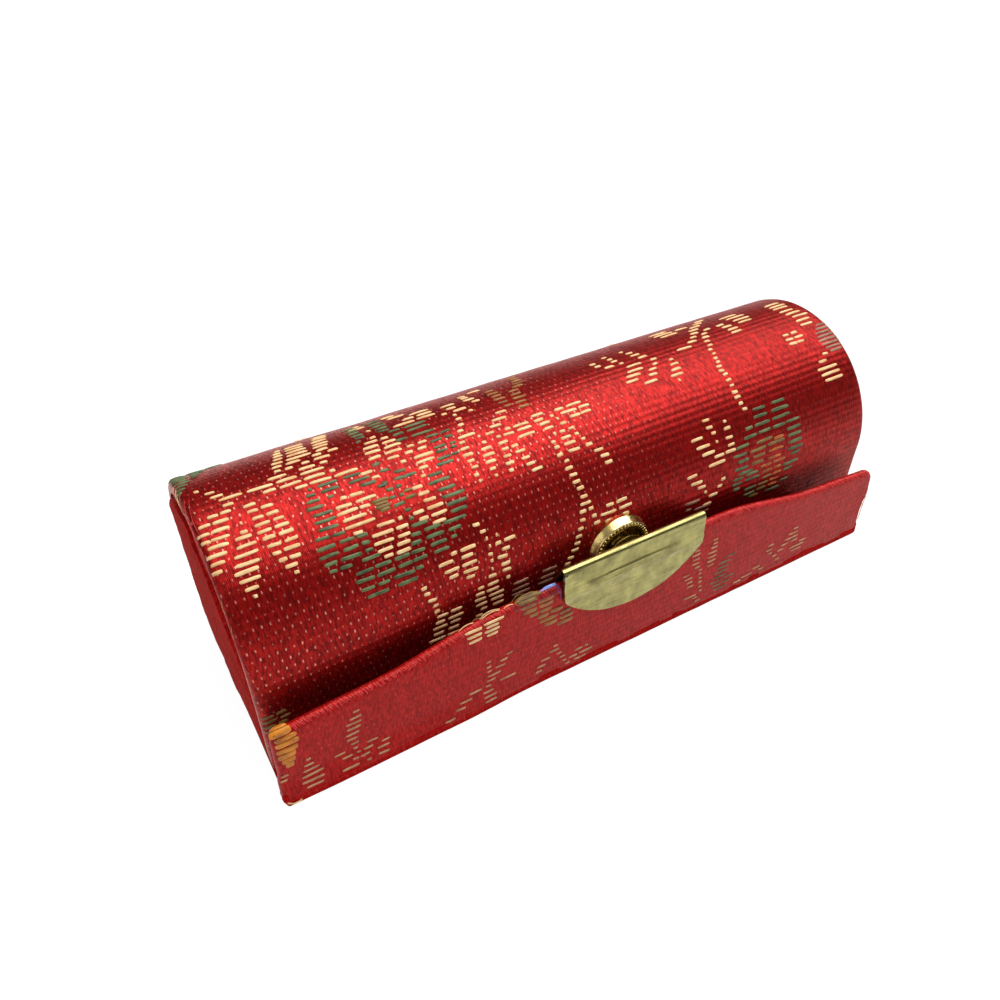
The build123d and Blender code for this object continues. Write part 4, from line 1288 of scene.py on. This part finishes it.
flapTwigs = [
    (8.7, -19.5, -18.8), (7.9, -19.5, -18.9), (7.1, -19.5, -18.8), (6.3, -19.4, -17.6),
    (5.45, -19.5, -18.3), (4.6, -19.7, -19, -17.7, -15.4), (8.8, -16.7, -15.9), (8, -17.7, -16.6),
    (7.15, -18.3, -16.9), (3.7, -20.1, -18.5), (2.85, -20.1, -18.2), (2.05, -19.9, -18.2),
    (6.2, -10.1, -9.5), (5.4, -10.7, -9.2), (4.5, -11.9, -10.5, -9.6, -8.7),
    (3.7, -12.4, -11.1, -9.1, -8.3, -6.9, -5.6, -5.3, -4.7),
    (2.8, -12.6, -11.7, -8.6, -8, -7.7, -6.4, -6.1, -4), (2.0, -8.3, -7.5, -6.9, -4.9), (12.4, 14.5, 15.3),
    (11.75, 11.5, 12.4, 14.6, 15.4), (11.1, 11.1, 12.6, 14.4, 15.5), (10.3, 11.4, 12.6, 14, 15.5),
    (9.5, 11.4, 12.6, 14, 15.5), (8.75, 11.9, 12.8, 14, 15.6), (8, 10.1, 11.2, 12.8, 13.3, 14.2, 15.3),
    (7.2, 10.5, 11.8, 12.9, 13.4), (6.4, 10.9, 12, 13, 13.5, 25.5, 26.7),
    (5.6, 11.1, 12.3, 13, 13.6, 25.3, 26.5), (4.8, 13.2, 13.8, 25.7, 26.7), (3.9, 13.4, 14, 26.9, 27.8),
    (3.5, 10.9, 13.1), (2.9, 12.4, 13.2, 27.6, 28.6), (2.1, 13, 14, 20, 21.4),
    (2.5, 21.4, 23.4, 24.5, 25.7), (3.2, 23.2, 24.8), (7.6, 30.1, 31.1), (6.85, 29.4, 31.3),
    (6.05, 28.8, 31.5), (5.25, 28.3, 29.7, 30.1, 31.5), (4.5, 27.7, 29, 32, 33.4), (3.9, 30.1, 33.2),
    (3.2, 30.7, 32.8)]
flapBuds = [
    (15.15, -19.7, -16.9), (14.8, -22.1, -19.8), (14.45, -19.4, -17.6), (14, -21.9, -19.9),
    (13.8, -19.6, -17.6), (13.25, -21.6, -19.9), (13.2, -19.4, -17.8)]
flapLeafBrown = [
    (15, -14.9, -12.7, -12.5, -10.2), (14.2, -14.5, -12.6, -12.4, -10.3),
    (13.35, -13.6, -12.4, -12.3, -10.4), (12.5, -12.5, -10.9, -10.8, -8.9), (11.6, -12.2, -9.6, -9.4, -7.8),
    (10.75, -11.5, -9.6, -9.4, -7.3), (9.9, -9.7, -7.4)]
flapMoss = [
    (8.3, 17.6, 19.3), (7.4, 16.3, 18.4), (6.6, 16.1, 18.2), (5.8, 15.7, 18.4), (5, 15.9, 18),
    (4.2, 15.3, 17.6, 17.8, 19.7), (3.4, 15.9, 17.4, 17.6, 19.2), (2.6, 16.3, 18.8)]


silk = {"width": 0.42, "height": 0.12, "tilt": 0.07, "pitch": 0.89, "longest": 2.2, "gap": 0.25,
        "stations": ((0.0, 0.5, -0.5), (0.07, 0.85, 0.55), (0.22, 1.0, 0.95), (0.5, 0.98, 1.0),
                     (0.78, 1.0, 0.95),
                     (0.93, 0.85, 0.55), (1.0, 0.5, -0.5)),
        "section": ((-1.0, -0.1), (-0.86, 0.62), (-0.45, 1.0), (0.0, 0.84), (0.45, 1.0), (0.86, 0.62),
                    (1.0, -0.1),
                    (0.0, -0.3))}


def silkFloats(name, place, rows, colour, body, seed, thick=1.0, tall=1.0):
    draw = Random(seed)
    verts, faces, coords = [], [], []
    stations, section = silk["stations"], silk["section"]
    for row in rows:
        height = row[0]
        for left, right in zip(row[1::2], row[2::2]):
            left += draw.uniform(-0.07, 0.07)
            right += draw.uniform(-0.07, 0.07)
            rise = height + draw.uniform(-0.04, 0.04)
            slope = draw.uniform(-1, 1) * silk["tilt"]
            half = silk["width"] / 2 * thick * draw.uniform(0.88, 1.1)
            top = silk["height"] * tall * draw.uniform(0.9, 1.1)
            bow = draw.uniform(-0.04, 0.04)
            tone = draw.uniform(0, 60)    # every float has its own place in the colour's grain
            base = len(verts)
            for share, wide, high in stations:
                x = left + (right - left) * share
                s = rise + slope * (share - 0.5) + bow * sin(pi * share)
                spot = Vector(place(x, s))
                along = Vector(place(x + 0.1, s)) - spot
                across = (Vector(place(x, s + 0.1)) - spot).normalized()
                outward = along.cross(across).normalized()
                lift = top * high if high < 0 else 0.0
                for w, h in section:
                    raised = h * top * max(high, 0.3) + lift
                    verts.append(spot + across * (w * half * wide) + outward * raised)
                    coords.append((x + tone, s + w * half * wide))
            faces += tubeFaces(base, len(stations), len(section))
    floats = addObject(name, verts, faces, materials[colour], coords, 55)
    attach(floats, body)


# Figures for the sides that were not seen, drawn from the same leaves, petals and stems

def wovenRows(inside, left, right, low, high, longest=silk["longest"]):
    rows, grain = [], 0.1
    count = int((high - low) / silk["pitch"]) + 1
    for k in range(count):
        s = low + k * silk["pitch"]
        row, start = [s], None
        for i in range(int((right - left) / grain) + 2):
            x = left + i * grain
            if inside(x, s) and i * grain < right - left:
                start = x if start is None else start
            elif start is not None:
                if x - start > 0.5:
                    pieces = max(1, ceil((x - start) / longest))
                    step = (x - start) / pieces
                    for m in range(pieces):
                        row += [start + m * step + (silk["gap"] / 2 if m else 0),
                                start + (m + 1) * step - (silk["gap"] / 2 if m < pieces - 1 else 0)]
                start = None
        if len(row) > 1:
            rows.append(tuple(row))
    return rows


def leafRows(x, s, length, width, angle):
    turn = radians(angle)

    def inside(px, ps):
        a = (px - x) * cos(turn) + (ps - s) * sin(turn)
        b = (ps - s) * cos(turn) - (px - x) * sin(turn)
        share = a / length
        return 0 < share < 1 and abs(b) < width / 2 * sin(pi * share ** 0.8) and abs(b) > 0.1 * (share < 0.7)
    reach = length + width
    low = s + min(0, length * sin(turn)) - width / 2
    return wovenRows(inside, x - reach, x + reach, low, low + abs(length * sin(turn)) + width)


def stemRows(points):
    rows = []
    for (x0, s0), (x1, s1) in zip(points, points[1:]):
        count = max(1, round(abs(s1 - s0) / silk["pitch"]), round(abs(x1 - x0) / 1.8))
        for k in range(count):
            share = (k + 0.5) / count
            x = x0 + (x1 - x0) * share
            half = max(0.45, abs(x1 - x0) / count / 2 - 0.12)
            rows.append((s0 + (s1 - s0) * share, x - half, x + half))
    return rows


def bloomRows(x, s, size, petals, turned):
    def petal(px, ps, outer, inner):
        reach, angle = hypot(px - x, ps - s), atan2(ps - s, px - x) - radians(turned)
        lobe = 0.72 + 0.28 * abs(cos(petals * angle / 2))
        vein = abs(sin(petals * angle / 2)) * reach > 0.12 * size
        return inner * size < reach < outer * size * lobe and (vein or reach < 0.45 * size)
    rim = wovenRows(lambda a, b: petal(a, b, 1.0, 0.66), x - size, x + size, s - size, s + size)
    body = wovenRows(lambda a, b: petal(a, b, 0.62, 0.26), x - size, x + size, s - size + 0.3, s + size)
    heart = wovenRows(lambda a, b: hypot(a - x, b - s) < 0.22 * size, x - size, x + size, s - size * 0.3,
                      s + size)
    return rim, body, heart


def drawnRows(figures):
    rows = {"cream": [], "green": [], "olive": []}
    for kind, *values in figures:
        if kind == "bloom":
            for colour, part in zip(("green", "cream", "olive"), bloomRows(*values)):
                rows[colour] += part
        elif kind == "stem":
            rows["cream"] += stemRows(values)
        else:
            rows["green" if kind == "greenLeaf" else "cream"] += leafRows(*values)
    return rows


# Blooms are (x, height, size, petals, turn), leaves (x, height, length, width, turn) and stems a few points

backFigures = (
    ("bloom", -14, 60.5, 7.5, 5, 20), ("bloom", 24, 63.5, 6.5, 6, 0), ("greenLeaf", -30, 52, 6, 3.4, 60),
    ("greenLeaf", 4, 66, 6.5, 3.4, 150), ("stem", (-21, 55), (-26, 50), (-30, 46.5)),
    ("leaf", -38, 55, 6, 3.2, 70), ("leaf", -34, 58, 5.5, 3, 110), ("leaf", -28, 60, 6.5, 3.4, 40),
    ("leaf", -3, 52, 6, 3, 60), ("leaf", 2, 50, 5, 2.8, 20), ("leaf", 8, 54, 6, 3.2, 100),
    ("leaf", 34, 52, 6.5, 3.4, 50), ("leaf", 38, 60, 6, 3.2, 120), ("leaf", 14, 70, 6, 3, 15),
    ("leaf", -36, 70, 6.5, 3.2, 30), ("leaf", -24, 71, 5.5, 3, 160), ("leaf", 36, 71, 5.5, 3, 60),
    ("leaf", -5, 71.5, 5, 2.6, 170), ("stem", (-6, 62), (0, 66), (5, 70.5), (12, 71)),
    ("stem", (20, 57), (17, 52), (17.5, 47)), ("stem", (30, 58), (35, 54.5), (41, 49)))
lidFigures = (
    ("bloom", -18, 1, 7.5, 5, 40), ("bloom", 24, -3, 6, 6, 10),
    ("stem", (-11, 5), (-4, 9), (4, 11.5), (12, 10)),
    ("leaf", -38, -6, 6.5, 3.2, 50), ("leaf", -33, -9, 6, 3, 15), ("leaf", -36, 6, 6, 3.2, 80),
    ("leaf", -2, -4, 6, 3, 120), ("leaf", 4, -8, 6.5, 3.2, 30), ("leaf", 8, 4, 6, 3, 60),
    ("leaf", 33, 4, 6, 3.2, 40), ("leaf", 36, -6, 5.5, 2.8, 100), ("greenLeaf", 14, 11, 6, 3, 200),
    ("greenLeaf", -30, 12, 6, 3, 250))
barrelFigures = {
    "cream": leafLow + leafMiddle + leafWide + branchLeft + petalsLow + petalsHigh + budsLeft + twigsMiddle
    + stemMiddle + sprayRight + budsRight + stemRight + tipsRight,
    "green": greenLeft + greenMiddle + greenRight, "olive": bronzeParts + blobLeft, "brown": mossParts,
    "rust": rustParts, "taupeAndShade": shadeRows + patchRight}
flapFigures = {    # rows, then the threads' thickness and height as shares of the usual one
    # the flap's leaves and twigs are cream silk woven in the darker dull copy: painted shade
    "orange": (flapFan, 1.95, 1.6), "dull": (flapLeaves + flapTwigs, 0.68, 0.75),
    "cream": (flapBuds, 1.0, 1.0),
    "brown": (flapLeafBrown, 1.45, 1.0), "green": (flapMoss, 0.6, 0.6)}


def weaveFigures():
    drawn = drawnRows(backFigures)
    for number, (colour, rows) in enumerate(barrelFigures.items()):
        rows = rows + drawn.get(colour, [])
        silkFloats(f"barrelSilk{colour.title()}", barrelPlace, rows, colour, "barrel", number)
    for number, (colour, (rows, thick, tall)) in enumerate(flapFigures.items()):
        silkFloats(f"flapSilk{colour.title()}", flapPlace, rows, colour, "flap", 20 + number, thick, tall)
    for number, (colour, rows) in enumerate(drawnRows(lidFigures).items()):
        silkFloats(f"lidSilk{colour.title()}", lidPlace, rows, colour, "lid", 40 + number, 1.0, 0.5)


# Rolled upper edge of the flap, whipped with slanting strokes; the strokes' ribbing is real, and their coral
# colour, lighter than the flap's red, is painted highlight of the light falling on the roll

roll = {"pitch": 0.2, "lean": 0.5, "start": 0.3, "end": 0.95, "gaps": ((-15.6, -9.3), (-9.3, 12.2)),
        "strokes": ((-44.2, 12.0, 0.34, 0.34), (12.2, 44.2, 0.34, 0.22)), "twist": (-15.4, -9.6, 0.42),
        "over": {"olive": (((0.5, -15.2, -12.4), (0.85, -15.4, -11.6), (1.2, -15.1, -11.8),
                            (1.5, -14.6, -12.2)),
                           1.1, 1.9),
                 "blue": (((1.05, -12.0, -9.5), (1.25, -11.4, -9.35)), 0.5, 1.2),
                 "orange": (((0.5, -44.9, -42.6), (1.25, -44.7, -42.9)), 1.9, 1.6)}}


def flapRoll(x, mark):    # mark runs from the flap's front over its edge
    turn = max(0.0, mark) / flapEdge
    z = flapTop(x) - flapEdge + flapEdge * sin(turn) + min(0.0, mark)
    return flapPlace(x, z, flapEdge * (1 - cos(turn)))


def slantedRoll(mark, along):
    return flapRoll(-along - roll["lean"] * mark, mark)


def makeRoll():
    draw = Random(61)
    for number, (low, high, thick, tall) in enumerate(roll["strokes"]):
        rows = []
        for x in steps(low, high, roll["pitch"]):
            if all(not first < x < last for first, last in roll["gaps"]):
                rows.append((-x + draw.uniform(-0.06, 0.06), roll["start"] + draw.uniform(-0.22, 0.12),
                             roll["end"] + draw.uniform(-0.15, 0.25)))
        silkFloats(f"rollStrokes{number + 1}", slantedRoll, rows, "coral", "flap", 62 + number, thick, tall)
    rows = [(-x, -0.3, 0.95) for x in steps(*roll["twist"])]
    silkFloats("rollTwist", slantedRoll, rows, "crimson", "flap", 65, 0.9, 0.9)
    for number, (colour, (rows, thick, tall)) in enumerate(roll["over"].items()):
        silkFloats(f"rollSilk{colour.title()}", flapRoll, rows, colour, "flap", 70 + number, thick, tall)


# Loose ends: single strands that stand off the cloth, each along a few points: the place along the case,
# the height or the way round the flap's edge, and the lift

strand = {"radius": 0.07, "sides": 6, "parts": 5}
looseEnds = {
    "flapCream": ("cream", "flap", flapRoll, 0.85, (
        ((-22.5, 0.95, 0.1), (-21.8, 1.05, 0.2), (-21.2, 1.05, 0.2), (-20.6, 0.95, 0.12)),
        ((-19.8, 0.95, 0.1), (-19.0, 1.1, 0.28), (-18.1, 1.1, 0.28), (-17.2, 0.95, 0.12)),
        ((-19.6, 0.85, 0.1), (-18.9, 0.95, 0.24), (-18.0, 0.95, 0.24), (-17.3, 0.85, 0.12)),
        ((-16.8, 0.8, 0.1), (-16.4, 0.85, 0.18), (-16.0, 0.85, 0.18), (-15.6, 0.8, 0.1)))),
    "flapLoop": ("olive", "flap", flapRoll, 0.6, (
        ((-20.9, 1.0, 0.1), (-20.5, 1.1, 0.26), (-20.1, 1.1, 0.26), (-19.7, 1.0, 0.1)),
        ((-15.9, 0.9, 0.1), (-15.3, 1.05, 0.45), (-14.6, 1.15, 0.6), (-13.8, 1.2, 0.4)))),
    "flapViolet": ("violet", "flap", flapRoll, 0.6, (
        ((-9.55, 0.9, 0.05), (-9.45, 0.3, 0.18), (-9.4, -0.5, 0.14), (-9.35, -1.3, 0.05)),
        ((-9.75, 0.9, 0.1), (-9.7, 0.4, 0.2), (-9.6, -0.2, 0.06)))),
    "tipCream": ("cream", "flap", flapPlace, 1.2, (
        ((-44.7, 1.35, 0.0), (-44.3, 0.95, 0.08), (-43.7, 0.85, 0.06), (-43.3, 1.0, 0.0)),)),
    "edgeStrands": ("coral", "barrel", barrelPlace, 0.5, (
        ((-44.5, 38.2, 0.02), (-44.95, 35.5, 0.12), (-45.1, 32.5, 0.14), (-44.9, 29.3, 0.0)),
        ((-44.1, 37.8, 0.0), (-44.5, 35.4, 0.1), (-44.6, 33.4, 0.1), (-44.4, 31.5, 0.0)),
        ((-45.2, 34.5, 0.02), (-45.35, 31.5, 0.12), (-45.3, 28.5, 0.1), (-45.05, 26.2, 0.0)),
        ((-44.9, 24.5, 0.0), (-45.15, 21.5, 0.08), (-45.0, 18.5, 0.08), (-44.7, 16.0, 0.0)))),
    "cornerFray": ("coral", "barrel", barrelPlace, 0.5, (
        ((-44.6, 42.0, 0.04), (-45.1, 41.2, 0.08), (-45.3, 40.2, 0.08), (-45.2, 39.2, 0.04)),
        ((-44.6, 39.4, 0.04), (-45.1, 38.4, 0.08), (-45.3, 37.4, 0.08), (-45.2, 36.4, 0.04)))),
    "cornerPale": ("cream", "barrel", barrelPlace, 0.6, (
        ((-44.8, 41.0, 0.06), (-45.2, 40.0, 0.1), (-45.4, 38.8, 0.1), (-45.3, 37.9, 0.06)),
        ((-44.9, 42.2, 0.06), (-45.3, 41.2, 0.1), (-45.5, 40.1, 0.1), (-45.4, 39.0, 0.06)),
        ((-44.9, 40.0, 0.06), (-45.3, 38.8, 0.1), (-45.5, 37.6, 0.1), (-45.4, 36.4, 0.06)))),
    "edgePale": ("dull", "barrel", barrelPlace, 0.5, (
        ((-44.9, 25.2, 0.05), (-45.1, 24.5, 0.07), (-45.1, 23.8, 0.05)),
        ((-44.9, 22.4, 0.05), (-45.1, 21.6, 0.07), (-45.1, 20.9, 0.05)))),
    "edgeRight": ("cream", "flap", flapPlace, 0.7, (
        ((44.5, 7.6, 0.02), (44.75, 6.6, 0.05), (44.8, 5.4, 0.05), (44.8, 4.2, 0.05), (44.7, 3.2, 0.0)),
        ((44.6, 6.4, 0.02), (44.85, 5.4, 0.02), (44.9, 4.4, 0.02), (44.8, 3.6, 0.0))))}


def strandEnds(name, colour, body, place, thick, routes):
    verts, faces, coords = [], [], []
    radius, sides, parts = strand["radius"] * thick, strand["sides"], strand["parts"]
    for number, route in enumerate(routes):
        knots = [Vector(p) for p in route]
        knots = [knots[0] * 2 - knots[1]] + knots + [knots[-1] * 2 - knots[-2]]
        marks = []
        for a, b, c, d in zip(knots, knots[1:], knots[2:], knots[3:]):
            for k in range(parts):
                t = k / parts
                marks.append((b * 2 + (c - a) * t + (a * 2 - b * 5 + c * 4 - d) * t * t
                              + (b * 3 - a - c * 3 + d) * t ** 3) / 2)
        marks.append(knots[-2])
        spots = []
        for u, v, lift in marks:
            spot = Vector(place(u, v))
            normal = (Vector(place(u + 0.1, v)) - spot).cross(Vector(place(u, v + 0.1)) - spot).normalized()
            spots.append((spot + normal * lift, normal))
        base = len(verts)
        for k, (spot, normal) in enumerate(spots):
            along = (spots[min(k + 1, len(spots) - 1)][0] - spots[max(k - 1, 0)][0]).normalized()
            side = along.cross(normal).normalized()
            up = side.cross(along)
            thin = radius * (0.5 if k in (0, len(spots) - 1) else 1.0)
            for i in range(sides):
                turn = 2 * pi * i / sides
                verts.append(spot + side * thin * cos(turn) + up * thin * sin(turn))
                coords.append((k * 0.3 + 7 * number, i * 0.05))
        faces += tubeFaces(base, len(spots), sides)
    strands = addObject(f"{name}Ends", verts, faces, materials[colour], coords, 80)
    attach(strands, body)


weaveFigures()
makeRoll()
for name, values in looseEnds.items():
    strandEnds(name, *values)
print("figures woven")


# Floor, sky and lamps

studio = {"floor": (0.86, 0.86, 0.86), "glow": 0.95, "grey": 0.15, "reach": 2.5,
          "zenith": 0.4, "band": 0.07, "horizon": 0.22, "sky": 1.0,
          "lamps": (("overhead", (0.22, 0.03, 0.55), (0.0, 0.0, 0.01), 0.7, 6.0),
                    ("left", (-0.6, -0.15, 0.35), (0.0, 0.0, 0.015), 0.5, 0.6),
                    ("front", (-0.15, -0.8, 0.12), (0.0, 0.0, 0.01), 0.5, 0.5))}


def makeFloor():
    reach = studio["reach"]
    data = bpy.data.meshes.new("floor")
    data.from_pydata([(-reach, -reach, 0), (reach, -reach, 0), (reach, reach, 0), (-reach, reach, 0)], [],
                     [(0, 1, 2, 3)])
    material = bpy.data.materials.new("paleFloor")
    material.use_nodes = True
    n = Nodes(material.node_tree)
    path = n.add("ShaderNodeLightPath").outputs
    mirrored = n.math("MAXIMUM", path["Is Glossy Ray"], path["Is Transmission Ray"])
    seen = n.math("MAXIMUM", path["Is Camera Ray"], mirrored)
    grey, glow = studio["grey"], studio["glow"]
    lit = n.add("ShaderNodeBsdfDiffuse", {"Color": studio["floor"] + (1.0,)})
    dim = n.add("ShaderNodeBsdfDiffuse", {"Color": (grey, grey, grey, 1.0)})
    shine = n.add("ShaderNodeEmission", {"Color": (1, 1, 1, 1), "Strength": glow})
    both = n.add("ShaderNodeAddShader")
    n.put(both.inputs[0], dim.outputs[0])
    n.put(both.inputs[1], shine.outputs[0])
    chosen = n.add("ShaderNodeMixShader", {"Fac": seen})
    n.put(chosen.inputs[1], lit.outputs[0])
    n.put(chosen.inputs[2], both.outputs[0])
    n.put(n.add("ShaderNodeOutputMaterial").inputs["Surface"], chosen.outputs[0])
    data.materials.append(material)
    ground = bpy.data.objects.new("floor", data)
    bpy.context.scene.collection.objects.link(ground)


def makeSky():
    world = bpy.data.worlds.new("softRoom")
    world.use_nodes = True
    bpy.context.scene.world = world
    n = Nodes(world.node_tree)
    place = n.add("ShaderNodeTexCoord").outputs["Generated"]
    height = n.add("ShaderNodeSeparateXYZ", {"Vector": place}).outputs[2]
    low = n.ramp(height, 0.03, 0.2, studio["horizon"], studio["band"])
    tone = n.plus(low, n.ramp(height, 0.6, 0.95, 0.0, studio["zenith"] - studio["band"]))
    sky = n.add("ShaderNodeBackground", {"Color": (1, 1, 1, 1)})
    n.put(sky.inputs["Strength"], n.times(tone, studio["sky"]))
    path = n.add("ShaderNodeLightPath").outputs
    white = n.add("ShaderNodeBackground", {"Color": (1, 1, 1, 1), "Strength": 1.0})
    seen = n.math("MAXIMUM", path["Is Camera Ray"], path["Is Transmission Ray"])
    chosen = n.add("ShaderNodeMixShader", {"Fac": seen})
    n.put(chosen.inputs[1], sky.outputs[0])
    n.put(chosen.inputs[2], white.outputs[0])
    n.put(n.add("ShaderNodeOutputWorld").inputs["Surface"], chosen.outputs[0])


def makeLamps():
    for name, place, aim, size, power in studio["lamps"]:
        lamp = bpy.data.lights.new(name, "AREA")
        lamp.shape = "DISK"
        lamp.size = size
        lamp.energy = power
        piece = bpy.data.objects.new(name, lamp)
        piece.location = place
        piece.rotation_euler = (Vector(aim) - Vector(place)).to_track_quat("-Z", "Y").to_euler()
        bpy.context.scene.collection.objects.link(piece)


makeFloor()
makeSky()
makeLamps()
print("studio lit")
print("flat sheets in mm:", flatSizes)
